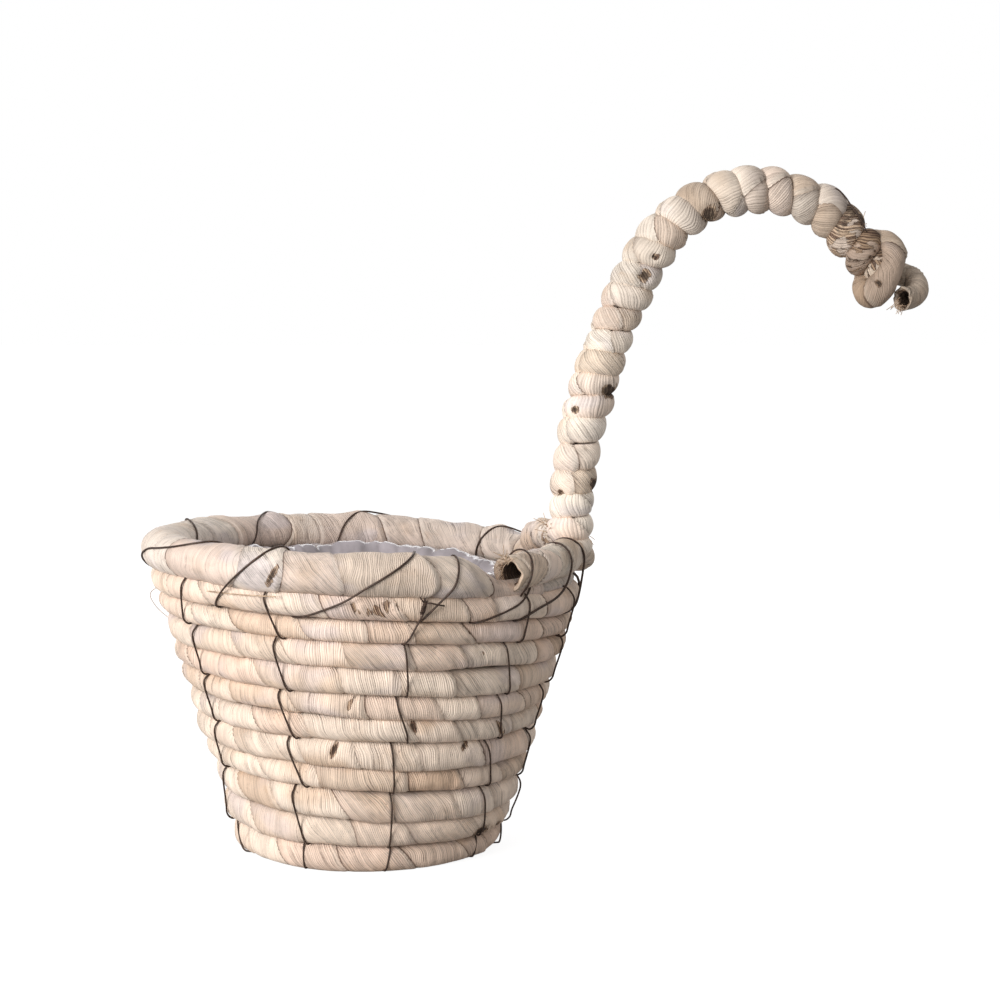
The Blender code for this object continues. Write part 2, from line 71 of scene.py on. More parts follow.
# Angles in degrees at which each stitch of the wires that show starts and ends, from the top row down
STITCH_ANGLES = {
    1: ((-51.1, -55.7), (-53.5, -56.0), (-54.5, -57.2), (-57.0, -61.6), (-65.0, -78.7), (-73.8, -60.0)),
    2: ((-22.4, -19.6), (-21.8, -19.4), (-23.3, -19.6), (-23.0, -18.6), (-24.4, -21.8), (-23.8, -23.0)),
    3: ((17.3, 12.4), (12.7, 14.2), (11.1, 15.8), (10.3, 11.8), (10.9, 11.0), (11.5, 8.5)),
    4: ((48.7, 49.4), (43.7, 49.0), (45.0, 51.9), (44.8, 52.6), (49.1, 54.7), (54.7, 52.0)),
    5: ((70.3, 73.4), (74.3, 75.3), (69.2, 73.4), (72.0, 78.0), (79.4, 85.6), (84.0, 78.0)),
}

# Torn places of the wall and the rim: angle in degrees, height, half width, half height, strength
TORN_PLACES = (
    (-7.7, 0.0676, 1.1, 0.0042, 1.0), (17.2, 0.082, 1.2, 0.003, 1.0), (6.7, 0.1443, 3.2, 0.0046, 0.62),
    (36.3, 0.1225, 2.0, 0.004, 0.5), (54.2, 0.0171, 4.6, 0.0036, 1.0), (68.0, 0.0165, 3.0, 0.0032, 0.9),
    (36.6, 0.0701, 1.3, 0.0024, 0.9), (50.5, 0.0782, 1.7, 0.0036, 0.8), (-19.5, 0.159, 0.9, 0.0052, 1.0),
    (0.5, 0.1435, 1.0, 0.004, 0.5), (-2.0, 0.093, 0.9, 0.004, 0.6), (104.0, 0.052, 2.2, 0.0034, 0.9),
    (126.0, 0.118, 2.6, 0.004, 0.7), (151.0, 0.082, 1.8, 0.003, 1.0), (172.0, 0.031, 3.0, 0.0034, 0.8),
    (196.0, 0.131, 2.4, 0.0038, 0.6), (214.0, 0.066, 1.7, 0.0028, 1.0), (238.0, 0.098, 2.2, 0.0036, 0.7),
    (262.0, 0.024, 2.6, 0.0032, 0.9),
)

# Torn places of the handle's hitches: x, height, size
TORN_HITCHES = (
    (0.1307, 0.2465, 0.0044), (0.1235, 0.202, 0.0036), (0.1835, 0.341, 0.0044), (0.149, 0.308, 0.0036),
    (0.1542, 0.318, 0.002), (0.112, 0.2366, 0.0022), (0.1046, 0.1981, 0.0014),
)

# Lumps of husk on the rim: angle in degrees, turn about the rim from outwards to up, half width, height
RIM_LUMPS = (
    (215, 100, 3.5, 0.003), (186, 95, 4.0, 0.0022), (138, 95, 4.0, 0.0034), (150, 120, 5.0, 0.0016),
    (-50, 10, 7.0, 0.0014), (-20, 60, 5.0, 0.0012), (5, 20, 7.0, 0.0014), (24, -30, 5.0, 0.0013),
    (240, 60, 6.0, 0.0016), (-76, 70, 5.0, 0.0014), (118, 40, 6.0, 0.002), (165, -20, 7.0, 0.0014),
)

# How much the whole basket has sunk towards the handle for each metre across, and between which heights
SETTLE_SLOPE = 0.052
SETTLE_SAG = 0.028
SETTLE_FULL_FROM = 0.03
SETTLE_FADES_FROM, SETTLE_FADES_TO = 0.182, 0.235
SETTLE_SAG_REACH = 0.02
SETTLE_SAG_FROM, SETTLE_SAG_RISE = 0.02, 0.09

# How far a torn place leans, in degrees for each metre of height
TORN_LEAN = 260

# Relief of the husk: depth and length of its fibres and of its puckers, and the sway of a strip's edge
FIBRE_DEPTH, FIBRE_LENGTH = 0.00024, 0.0026
PUCKER_DEPTH, PUCKER_LENGTH = 0.00045, 0.011
EDGE_SWAY, EDGE_RIPPLE = 0.007, 0.0011

# The least gap that is kept under the ropes that stand on the floor
FLOOR_GAP = 0.00005


def amount(title, default, words, **kind):
    """A number for the panel, with the words that explain it."""
    return bpy.props.FloatProperty(name=title, default=default, description=words, **kind)


def measure(title, default, words):
    return amount(title, default, words, unit="LENGTH")


def lean(title, degrees, words):
    return amount(title, math.radians(degrees), words, subtype="ANGLE")


def dye(title, default, words):
    return bpy.props.FloatVectorProperty(name=title, default=default, description=words, subtype="COLOR")


class PlanterSizes(bpy.types.PropertyGroup):
    wrap_length: measure("Wrap length", 0.032, "Usual width of one strip of husk")
    wrap_layer: measure("Wrap thickness", 0.0007, "Height of a strip's edge over the next")
    skin_step: measure("Skin step", 0.0011, "Spacing of the points on a rope's skin")
    wire_radius: measure("Wire radius", 0.0005, "Radius of the binding wire")
    film_gauge: measure("Film gauge", 0.0004, "Thickness of the liner film")
    rod_radius: measure("Rod radius", 0.00225, "Radius of the rod inside the handle")
    foot_lean: lean("Foot lean", 3.4, "Lean of the hitched rope at its foot")
    head_lean: lean("Head lean", 28.6, "Lean of the hitched rope where the hook begins")
    handle_stand: measure("Handle stand", 0.152, "Length of the bowed upright")
    rise_radius: measure("Rise radius", 0.069, "Bend of the hook up to its top")
    fall_radius: measure("Fall radius", 0.0586, "Bend of the hook down from its top")
    fall_sweep: lean("Fall sweep", 46.4, "How far the hook bends down")
    winding_start: measure("Winding start", -0.007, "Where the hitches start, below the foot")
    winding_length: measure("Winding length", 0.2965, "Length of handle that the hitches cover")
    hitch_growth: amount("Hitch growth", 0.13, "How much wider than the mean the last hitch is")
    hitch_count: bpy.props.IntProperty(name="Hitches", default=23, description="Number of hitches")


class PlanterColours(bpy.types.PropertyGroup):
    pale: dye("Pale husk", (0.9, 0.79, 0.67), "Cream of the clean husk")
    pink: dye("Pink husk", (0.82, 0.655, 0.54), "Pinkish strips")
    tan: dye("Tan husk", (0.66, 0.48, 0.33), "Darker strips")
    # This brown is the torn inner husk and its cracks, and also the painted shade in the grooves and the
    # painted shadows at the strips' edges.
    brown: dye("Torn husk and painted shade", (0.115, 0.062, 0.04), "Inner husk, cracks and grooves")
    ash: dye("Ashen husk", (0.72, 0.64, 0.62), "Cool grey patches")
    wire: dye("Wire", (0.045, 0.026, 0.018), "Rusted binding wire")
    film: dye("Film", (0.36, 0.32, 0.335), "Cloudy liner film")


class PlanterStage(bpy.types.PropertyGroup):
    key_power: amount("Key power", 21.5, "Power of the soft lamp low at the left, in watts")
    back_power: amount("Back power", 8.0, "Power of the soft lamp behind, in watts")
    sky_strength: amount("Sky strength", 0.56, "Even light from all round")
    camera_place: bpy.props.FloatVectorProperty(
        name="Camera place", description="Where the photograph was taken from", subtype="TRANSLATION",
        default=(0.072, -1.19, 0.2975),
    )
    camera_pitch: lean("Camera pitch", 5.3, "How far the camera looks down")
    camera_lens: amount("Camera lens", 79.3, "Focal length in millimetres")


# Places read from the frame


def hoop_of(node):
    """Radius and height of a hoop's centre line and the radius of its rope, from its points."""
    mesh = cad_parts[node].data
    points = np.empty(len(mesh.vertices) * 3)
    mesh.vertices.foreach_get("co", points)
    points = points.reshape(-1, 3)
    out = np.hypot(points[:, 0], points[:, 1])
    ring = (out.max() + out.min()) / 2
    height = (points[:, 2].max() + points[:, 2].min()) / 2
    return ring, height, float(np.hypot(out - ring, points[:, 2] - height).max())


LOW_HOOP = hoop_of("coil_row_01")
TOP_HOOP = hoop_of(f"coil_row_{ROW_COUNT:02d}")
ROPE_RADIUS = LOW_HOOP[2]
RIM_LOW, RIM_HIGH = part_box("rim_coil")
RIM_SEAT = RIM_LOW[2]
RIM_ROPE = (RIM_HIGH[2] - RIM_LOW[2]) / 2
RIM_RING = -RIM_LOW[0] - RIM_ROPE
RIM_THIN_ROPE = 0.0037
RIM_THIN_FROM, RIM_THIN_TO, RIM_TAPER = (math.radians(a) for a in (42, 98, 15))
RIM_FLATNESS = 0.8
RIM_BACK_SINK = 0.003
WALL_TOP = RIM_SEAT
WALL_SLOPE = (TOP_HOOP[0] - LOW_HOOP[0]) / (TOP_HOOP[1] - LOW_HOOP[1])


# Noise and grids


def ease(x):
    """A step from 0 to 1 that starts and ends level."""
    x = np.clip(x, 0, 1)
    return x * x * (3 - 2 * x)


def closing(u, first, last):
    """How full a rope is at a share along it: it is round at both ends, where it closes."""
    return np.sqrt(ease(u * first) * ease((1 - u) * last))


def signed_turn(degrees):
    """The same direction between -180 and 180 degrees."""
    return np.mod(degrees + 180, 360) - 180


def lengths_along(points):
    """How far along a path each of its points lies."""
    return np.concatenate([[0], np.cumsum(np.linalg.norm(np.diff(points, axis=0), axis=1))])


def rows_at(places, known, table):
    """The rows of a table at places, in a straight line between the known ones."""
    return np.stack([np.interp(places, known, column) for column in table.T], axis=-1)


def waves(u, v, cells, seed):
    """Smooth noise from -1 to 1 that repeats on the unit square.

    Random heights stand on a lattice of cells, and between them the height eases from one to the next.
    """
    heights = np.random.default_rng(seed).uniform(-1, 1, cells)
    x, y = np.asarray(u) * cells[0], np.asarray(v) * cells[1]
    i, j = np.floor(x).astype(int), np.floor(y).astype(int)
    a, b = ease(x - i), ease(y - j)
    i, j, k, l = i % cells[0], j % cells[1], (i + 1) % cells[0], (j + 1) % cells[1]
    low = heights[i, j] * (1 - a) + heights[k, j] * a
    high = heights[i, l] * (1 - a) + heights[k, l] * a
    return low * (1 - b) + high * b


def around(angle, radius, height):
    """Points at angles round the basket, at radii and heights."""
    return np.stack(np.broadcast_arrays(radius * np.sin(angle), -radius * np.cos(angle), height), axis=-1)


def settle(points):
    """Points of the basket as it has settled: lower towards the handle and higher away from it.

    The shift grows with x, and both sides sag a little. It is nothing on the floor and on the hook, and
    eases in between.
    """
    x, height = points[..., 0], points[..., 2]
    fade = (SETTLE_FADES_TO - height) / (SETTLE_FADES_TO - SETTLE_FADES_FROM)
    spread = np.sqrt(x**2 + SETTLE_SAG_REACH**2) - SETTLE_SAG_REACH
    sag = SETTLE_SAG * spread * ease((height - SETTLE_SAG_FROM) / SETTLE_SAG_RISE)
    shift = (SETTLE_SLOPE * x * ease(height / SETTLE_FULL_FROM) + sag) * ease(fade)
    return points - shift[..., None] * np.array([0, 0, 1])


def fill_mesh(name, points, faces, corners=None, values=None):
    """A mesh from arrays: points, then blocks of faces with equal numbers of corners.

    corners holds UV maps as arrays of one pair for each face corner, in the order of the blocks. values
    holds float attributes with one number for each point.
    """
    mesh = bpy.data.meshes.new(name)
    points = settle(np.asarray(points)).astype(np.float32)
    loops = np.concatenate([block.ravel() for block in faces]).astype(np.int32)
    sizes = np.concatenate([np.full(len(block), block.shape[1]) for block in faces])
    mesh.vertices.add(len(points))
    mesh.vertices.foreach_set("co", points.ravel())
    mesh.loops.add(len(loops))
    mesh.loops.foreach_set("vertex_index", loops)
    mesh.polygons.add(len(sizes))
    starts = np.concatenate([[0], np.cumsum(sizes)[:-1]])
    mesh.polygons.foreach_set("loop_start", starts.astype(np.int32))
    mesh.update(calc_edges=True)
    for title, pairs in (corners or {}).items():
        layer = mesh.uv_layers.new(name=title)
        layer.uv.foreach_set("vector", np.asarray(pairs, np.float32).ravel())
    for title, numbers in (values or {}).items():
        made = mesh.attributes.new(title, "FLOAT", "POINT")
        made.data.foreach_set("value", np.asarray(numbers, np.float32).ravel())
    mesh.validate()
    mesh.shade_smooth()
    return mesh


def quads_of(rows, columns, closed):
    """Faces between the neighbours in a grid of points. Columns close, and rows where closed is set."""
    i, j = np.meshgrid(np.arange(rows if closed else rows - 1), np.arange(columns), indexing="ij")
    after, beside = (i + 1) % rows, (j + 1) % columns
    corners = i * columns + j, i * columns + beside, after * columns + beside, after * columns + j
    return np.stack(corners, axis=-1).reshape(-1, 4)


def skin(name, grid, ring_closed, maps, values):
    """A tube's skin from a grid of points, rows along it and columns round it.

    Columns always close. The rows close too where ring_closed is set, and otherwise each end is closed by
    a fan to its middle. maps has one more row and column than the faces need, so that a map can run on
    over the seam. Faces point outwards where columns turn right-handed about the way along.
    """
    rows, columns = grid.shape[:2]
    blocks = [quads_of(rows, columns, ring_closed)]
    pairs = {}
    for title, table in maps.items():
        spots = [table[:-1, :-1], table[:-1, 1:], table[1:, 1:], table[1:, :-1]]
        pairs[title] = np.stack(spots, axis=2).reshape(-1, 2)
    points = grid.reshape(-1, 3)
    numbers = {title: np.broadcast_to(table, grid.shape[:2]).ravel() for title, table in values.items()}
    if not ring_closed:
        ends = np.stack([grid[0].mean(axis=0), grid[-1].mean(axis=0)])
        first, turn = np.arange(columns), (np.arange(columns) + 1) % columns
        count = rows * columns
        last = (rows - 1) * columns
        blocks.append(np.stack([np.full(columns, count), turn, first], axis=-1))
        blocks.append(np.stack([np.full(columns, count + 1), last + first, last + turn], axis=-1))
        points = np.concatenate([points, ends])
        for title, table in maps.items():
            low = np.stack([table[0, :-1], table[0, 1:], table[0, :-1]], axis=1).reshape(-1, 2)
            high = np.stack([table[-1, :-1], table[-1, :-1], table[-1, 1:]], axis=1).reshape(-1, 2)
            pairs[title] = np.concatenate([pairs[title], low, high])
        for title, table in numbers.items():
            shaped = table.reshape(rows, columns)
            numbers[title] = np.concatenate([table, [shaped[0].mean(), shaped[-1].mean()]])
    return fill_mesh(name, points, blocks, pairs, numbers)


def place(name, mesh, finish, slot, *nodes):
    """Links a finished piece, gives it its material and body, and hides the CAD nodes that it stands for.
    """
    piece = bpy.data.objects.new(name, mesh)
    bpy.context.scene.collection.objects.link(piece)
    mesh.materials.append(finish)
    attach(piece, BODY)
    if nodes:
        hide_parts(*nodes)
    return piece


# Husk wraps


def wrap_map(along, across, length, spacing, seed):
    """Which strip of husk covers each point of a rope: a count that grows by one at each strip's edge.

    Edge k lies at a jittered place along the rope and sways with the turn about the rope as a sine of its
    own phase. Between two edges the count grows evenly, so that it is unbroken over the whole skin.
    """
    draw = np.random.default_rng(seed)
    count = max(3, int(round(length / spacing)))
    jitter = draw.uniform(-0.3, 0.3, count)
    sway = EDGE_SWAY * draw.uniform(0.25, 1, count)
    phase = draw.uniform(-0.12, 0.12, count)
    order = np.arange(-1, count + 2)
    kept = order % count
    places = (order + jitter[kept]) * length / count
    turn = across[None, :, None]
    edges = places + sway[kept] * np.sin(TURN * (turn + phase[kept]))
    edges = edges + EDGE_RIPPLE * np.sin(TURN * (2 * turn + 3 * phase[kept]))
    share = (along[:, None, None] - edges[..., :-1]) / (edges[..., 1:] - edges[..., :-1])
    return np.clip(share, 0, 1).sum(axis=-1) - 1, count


def layers(wraps, count, sizes, seed):
    """How far the husk stands out: each strip has a height of its own and a lip that ends at its edge."""
    draw = np.random.default_rng(seed)
    heights = draw.uniform(0, 1, count)
    index = np.floor(wraps).astype(int)
    part = wraps - index
    fall = ease((1 - part) / 0.055)
    height = heights[index % count] * fall + heights[(index + 1) % count] * (1 - fall)
    lip = (np.exp(-(1 - part) * 9) + 0.8) * fall - 0.8 + 0.8 * (1 - np.exp(-part * 14)) * fall
    return sizes.wrap_layer * (0.9 * height + lip)


def husk_grid(length, turns, seed, closed, rope, spacing=None):
    """The skin of a husk-wrapped rope as grids: points, maps, painted shade mask, shares along and shares
    round.

    rope takes the share along, the share round and the relief of the husk, all as grids, and gives points.
    The share round starts on the side that shows least.
    """
    sizes = bpy.context.scene.planter_sizes
    rows = max(12, int(round(length / sizes.skin_step)))
    share_along = np.arange(rows + (0 if closed else 1)) / rows
    share_round = np.arange(turns) / turns
    wide_along, wide_round = np.arange(rows + 1) / rows, np.arange(turns + 1) / turns
    wraps, count = wrap_map(wide_along * length, wide_round, length, spacing or sizes.wrap_length, seed)
    inner = wraps[: len(share_along), :-1]
    u, v = np.meshgrid(share_along, share_round, indexing="ij")
    relief = layers(inner, count, sizes, seed + 1)
    relief = relief + FIBRE_DEPTH * waves(u, v, (max(3, int(length / FIBRE_LENGTH)), 5), seed + 2)
    relief = relief + PUCKER_DEPTH * waves(u, v, (max(3, int(length / PUCKER_LENGTH)), 4), seed + 3)
    grid, girth, groove = rope(u, v, relief)
    weave = np.meshgrid(wide_along * length, wide_round * girth, indexing="ij")
    wrap = wraps, np.full_like(wraps, count)
    maps = {"Weave": np.stack(weave, axis=-1), "Wrap": np.stack(wrap, axis=-1)}
    return grid, maps, groove, u, v


def husk_skin(name, length, turns, seed, closed, rope, spacing=None, torn=None):
    """The mesh of a husk-wrapped rope. torn gives how torn the husk is from the points and the shares."""
    grid, maps, groove, u, v = husk_grid(length, turns, seed, closed, rope, spacing)
    tint = np.random.default_rng(seed).uniform(0, 97)
    # groove is painted shade: the husk is darkened where it meets its neighbours, and on the hook's top.
    values = {"seed": tint, "groove": groove, "torn": 0.0 if torn is None else torn(grid, u, v)}
    return skin(name, grid, closed, maps, values)


def torn_wall(grid, *shares):
    """How torn the husk is at points of the wall: each torn place fades out over an oval."""
    angle = np.degrees(np.arctan2(grid[..., 0], -grid[..., 1]))
    torn = 0 * angle
    for number, (place_at, height, wide, tall, strength) in enumerate(TORN_PLACES):
        turn = signed_turn(angle - place_at)
        turn = turn + (TORN_LEAN if number % 2 else -TORN_LEAN) * (grid[..., 2] - height)
        away = np.hypot(turn / wide, (grid[..., 2] - height) / tall)
        torn = np.maximum(torn, strength * ease((1.7 - away) / 1.4))
    return torn


# Materials


HUSK_COLOURS = ("Pale", "Pink", "Tan", "Ash", "Brown")

# How much the husk's red, green and blue differ from the panel's colours in each place
HUSK_SHIFTS = {
    "Row Husk": (0.97, 0.91, 0.88),
    "Rim Husk": (0.87, 0.86, 0.88),
    "Base Husk": (0.97, 0.91, 0.88),
    "Handle Husk": (1.08, 1.09, 1.1),
    "Knot Husk": (0.58, 0.54, 0.505),
    "Tail Husk": (0.93, 0.92, 0.92),
}

# Near-black painted into the most torn places: painted shade standing in for the inside of holes.
HOLE_SHADE_COLOUR = (0.03, 0.018, 0.013, 1.0)
STEEL_COLOUR = (0.2, 0.17, 0.15, 1.0)
STEEL_RUST = (0.12, 0.05, 0.025, 1.0)
THREAD_COLOUR = (0.34, 0.22, 0.14, 1.0)


class Value:
    """A number or colour that a shader node gives, so that the sums in a material read as sums."""

    def __init__(self, socket):
        self.socket = socket
        self.tree = socket.id_data

    def __add__(self, other):
        return calc("ADD", self, other)

    def __sub__(self, other):
        return calc("SUBTRACT", self, other)

    def __rsub__(self, other):
        return calc("SUBTRACT", other, self)

    def __mul__(self, other):
        return calc("MULTIPLY", self, other)


def add_node(tree, kind, **settings):
    node = tree.nodes.new(kind)
    for title, value in settings.items():
        setattr(node, title, value)
    return node


def feed(socket, source):
    """Joins a socket to the node that gives a value, or sets it to a plain number or colour."""
    if isinstance(source, Value):
        source.tree.links.new(source.socket, socket)
    else:
        socket.default_value = source


def feed_all(node, sources):
    """Feeds a node's first sockets in turn."""
    for socket, source in zip(node.inputs, sources):
        feed(socket, source)
    return Value(node.outputs[0])


def feed_named(node, **sources):
    """Feeds the sockets that are named."""
    for title, source in sources.items():
        feed(node.inputs[title], source)
    return Value(node.outputs[0])


def calc(operation, *sources):
    """One operation on values and plain numbers."""
    tree = next(source.tree for source in sources if isinstance(source, Value))
    return feed_all(add_node(tree, "ShaderNodeMath", operation=operation), sources)


def stretch(value, low, high, start=0.0, end=1.0):
    """A value carried smoothly from one range to another, and held at both ends."""
    node = add_node(value.tree, "ShaderNodeMapRange", interpolation_type="SMOOTHSTEP")
    return feed_all(node, (value, low, high, start, end))


def spot(x, y, z=0.0):
    return feed_all(add_node(x.tree, "ShaderNodeCombineXYZ"), (x, y, z))


def parts(value, kind):
    """The three numbers that a place or a colour is made of."""
    node = add_node(value.tree, kind)
    feed(node.inputs[0], value)
    return [Value(output) for output in node.outputs]


def blend(share, low, high):
    """A colour between two others."""
    node = add_node(share.tree, "ShaderNodeMix", data_type="RGBA")
    for index, source in ((0, share), (6, low), (7, high)):
        feed(node.inputs[index], source)
    return Value(node.outputs[2])


def noise(where, scale=1.0, detail=2.0, roughness=0.5):
    node = add_node(where.tree, "ShaderNodeTexNoise")
    return feed_named(node, Vector=where, Scale=scale, Detail=detail, Roughness=roughness)


def husk_group():
    """Node group: strips of dried husk round a rope, with fibres, stains, edges with painted shadows and
    painted shade in the grooves.

    The whole part of the wrap count picks each strip's colour and the slant of its fibres. Its fraction
    is the place between the strip's edges, and draws the painted shadow line of the edge that lies on the
    next.
    """
    name = "Husk Strips"
    if name in bpy.data.node_groups:
        return bpy.data.node_groups[name]
    tree = bpy.data.node_groups.new(name, "ShaderNodeTree")
    for way, kind, titles in (
        ("INPUT", "Vector", ("Weave", "Wrap")),
        ("INPUT", "Float", ("Seed", "Groove", "Torn")),
        ("INPUT", "Color", HUSK_COLOURS),
        ("OUTPUT", "Color", ("Color",)),
        ("OUTPUT", "Float", ("Roughness", "Height")),
    ):
        for title in titles:
            tree.interface.new_socket(title, in_out=way, socket_type=f"NodeSocket{kind}")
    given = {output.name: Value(output) for output in add_node(tree, "NodeGroupInput").outputs}
    along, across, _ = parts(given["Weave"], "ShaderNodeSeparateXYZ")
    wraps, count, _ = parts(given["Wrap"], "ShaderNodeSeparateXYZ")
    index = calc("FLOORED_MODULO", calc("FLOOR", wraps), count)
    part = calc("FRACT", wraps)
    pick = add_node(tree, "ShaderNodeTexWhiteNoise", noise_dimensions="2D")
    feed(pick.inputs["Vector"], spot(index, given["Seed"]))
    first, second, third = parts(Value(pick.outputs["Color"]), "ShaderNodeSeparateColor")

    slant = second * 1.05 - 0.15
    depth = index * 7.3 + given["Seed"]
    sway = noise(spot(along * 48.0, across * 70.0, depth), detail=1.0)
    fibre = across * slant + (sway * 0.0065 + along)
    lengthwise = across - along * slant

    def strands(fine, long, detail=2.0, roughness=0.5):
        return noise(spot(fibre * fine, lengthwise * long, depth), 1.0, detail, roughness)

    fine, hair, broad = strands(1000.0, 26.0), strands(2600.0, 60.0), strands(190.0, 24.0)
    rag = strands(900.0, 260.0, 4.0, 0.6)
    tear = strands(430.0, 150.0, 3.0)
    stain = noise(spot(along * 75.0, across * 90.0, depth), 1.0, 5.0, 0.62)
    cloud = noise(spot(along * 26.0, across * 44.0, depth))

    ridge = calc("SINE", fibre * (third * 1500.0 + 5300.0) + fine * 5.0) * 0.5 + 0.5
    thread = ridge * 0.5 + stretch(fine, 0.34, 0.6) * 0.5
    colour = blend(stretch(first, 0.25, 1.0), given["Pale"], given["Pink"])
    for share, title in (
        (stretch(third, 0.66, 1.0, 0.0, 0.6), "Tan"),
        (stretch(cloud, 0.54, 0.72, 0.0, 0.55), "Tan"),
        (stretch(cloud, 0.46, 0.3, 0.0, 0.6), "Ash"),
    ):
        colour = blend(share, colour, given[title])
    contrast = stretch(second, 0.0, 0.9, 0.36, 0.66) * stretch(stain, 0.38, 0.56, 0.3, 1.0)
    shade = (1.16 - contrast * (1.0 - thread)) * (hair * 0.5 + 0.75) * (broad * 0.5 + 0.75)
    tone = add_node(tree, "ShaderNodeVectorMath", operation="SCALE")
    feed(tone.inputs[0], colour)
    feed(tone.inputs["Scale"], shade)
    colour = Value(tone.outputs[0])

    crack = stretch(fine, 0.35, 0.25) * stretch(stain, 0.4, 0.58, 0.15, 0.9)
    speck = stretch(rag, 0.64, 0.74) * stretch(cloud, 0.5, 0.62, 0.0, 0.7)
    lip = stretch(part, 0.9, 0.96) * stretch(part, 1.0, 0.98)
    # Painted shadow: a dark line just past each strip's edge, on the strip that the edge lies on.
    edge = stretch(part, 0.034, 0.008, 0.0, 0.95) * stretch(first, 0.4, 0.75, 0.1, 0.95)
    for share, title in (
        (stretch(stain, 0.58, 0.78, 0.0, 0.55), "Tan"),
        (crack, "Brown"),
        (speck, "Brown"),
        # Painted shadow fading out over the first part of each strip, beside the edge that lies on it.
        (stretch(part, 0.14, 0.0, 0.0, 0.26), "Brown"),
        (lip * 0.45, "Pale"),
        # The painted shadow line, broken up by the stains.
        (edge * stretch(stain, 0.36, 0.5, 0.4, 1.0), "Brown"),
        # Painted shade where the ropes meet their neighbours, and on the hook's top.
        (given["Groove"] * 0.8, "Brown"),
    ):
        colour = blend(share, colour, given[title])

    ragged = (tear - 0.5) * 1.9 + given["Torn"]
    torn = stretch(ragged, 0.42, 0.52) * stretch(given["Torn"], 0.02, 0.12)
    # Painted shade: where the husk is most torn it is painted near-black, as if into holes.
    hole_shade = (rag - 0.5) * 1.2 + given["Torn"]
    frayed_and_hole_shade = blend(stretch(thread, 0.35, 0.85), given["Brown"], given["Tan"])
    frayed_and_hole_shade = blend(stretch(hole_shade, 0.62, 0.95, 0.0, 0.85), frayed_and_hole_shade, HOLE_SHADE_COLOUR)
    result = add_node(tree, "NodeGroupOutput").inputs
    feed(result["Color"], blend(torn, colour, frayed_and_hole_shade))
    feed(result["Roughness"], broad * 0.3 + 0.58)
    feed(result["Height"], thread * 0.75 + broad * 0.6 + hair * 0.25 - torn * 1.6)
    return tree


def material_of(name, roughness=0.6, metallic=0.0):
    """A new material and its Principled shader, or None for the shader if the material exists."""
    if name in bpy.data.materials:
        return bpy.data.materials[name], None
    made = bpy.data.materials.new(name)
    made.use_nodes = True
    shader = made.node_tree.nodes["Principled BSDF"]
    shader.inputs["Roughness"].default_value = roughness
    shader.inputs["Metallic"].default_value = metallic
    return made, shader


def bump(shader, height, distance, strength=0.8):
    node = add_node(height.tree, "ShaderNodeBump")
    feed(shader.inputs["Normal"], feed_named(node, Strength=strength, Distance=distance, Height=height))


def husk_finish(name):
    """Husk on a rope, with its colours shifted a little for the place that it is used in."""
    made, shader = material_of(name)
    if shader is None:
        return made
    tree = made.node_tree
    group = add_node(tree, "ShaderNodeGroup", node_tree=husk_group())
    for title in ("Weave", "Wrap"):
        feed(group.inputs[title], Value(add_node(tree, "ShaderNodeUVMap", uv_map=title).outputs[0]))
    for title in ("Seed", "Groove", "Torn"):
        source = add_node(tree, "ShaderNodeAttribute", attribute_name=title.lower())
        feed(group.inputs[title], Value(source.outputs["Fac"]))
    for title in HUSK_COLOURS:
        colour = getattr(bpy.context.scene.planter_colours, title.lower())
        feed(group.inputs[title], (*(a * b for a, b in zip(colour, HUSK_SHIFTS[name])), 1.0))
    feed(shader.inputs["Base Color"], Value(group.outputs["Color"]))
    feed(shader.inputs["Roughness"], Value(group.outputs["Roughness"]))
    shader.inputs["Specular IOR Level"].default_value = 0.3
    bump(shader, Value(group.outputs["Height"]), 0.0005, 1.0)
    return made


def object_grain(material, scale, detail=3.0):
    """Noise on the object's own coordinates."""
    where = Value(add_node(material.node_tree, "ShaderNodeTexCoord").outputs["Object"])
    return noise(where, scale, detail)


def lightened(colour, factor):
    return tuple(min(1.0, part * factor) for part in colour)


def wire_finish():
    made, shader = material_of("Binding Wire", 0.5, 0.35)
    if shader is None:
        return made
    colour = bpy.context.scene.planter_colours.wire
    rust = object_grain(made, 900.0)
    spots = blend(stretch(rust, 0.4, 0.75), (*colour, 1), (*lightened(colour, 2.6), 1))
    feed(shader.inputs["Base Color"], spots)
    feed(shader.inputs["Roughness"], stretch(rust, 0.3, 0.8, 0.4, 0.75))
    bump(shader, rust, 0.00008)
    return made


def film_finish():
    """Cloudy plastic film: a little see-through, with creases that catch the light."""
    made, shader = material_of("Cloudy Film", 0.22)
    if shader is None:
        return made
    colour = bpy.context.scene.planter_colours.film
    cloud = object_grain(made, 45.0, 4.0)
    spots = blend(stretch(cloud, 0.35, 0.7), (*colour, 1), (*lightened(colour, 1.45), 1))
    feed(shader.inputs["Base Color"], spots)
    feed(shader.inputs["Alpha"], stretch(cloud, 0.3, 0.7, 0.86, 0.98))
    shader.inputs["Coat Weight"].default_value = 0.35
    shader.inputs["Coat Roughness"].default_value = 0.08
    bump(shader, object_grain(made, 160.0, 2.0), 0.0006, 0.6)
    return made


def steel_finish():
    made, shader = material_of("Rod Steel", 0.5, 0.9)
    if shader is None:
        return made
    rust = object_grain(made, 300.0)
    feed(shader.inputs["Base Color"], blend(stretch(rust, 0.45, 0.65), STEEL_COLOUR, STEEL_RUST))
    feed(shader.inputs["Roughness"], stretch(rust, 0.3, 0.7, 0.35, 0.75))
    bump(shader, rust, 0.00006)
    return made


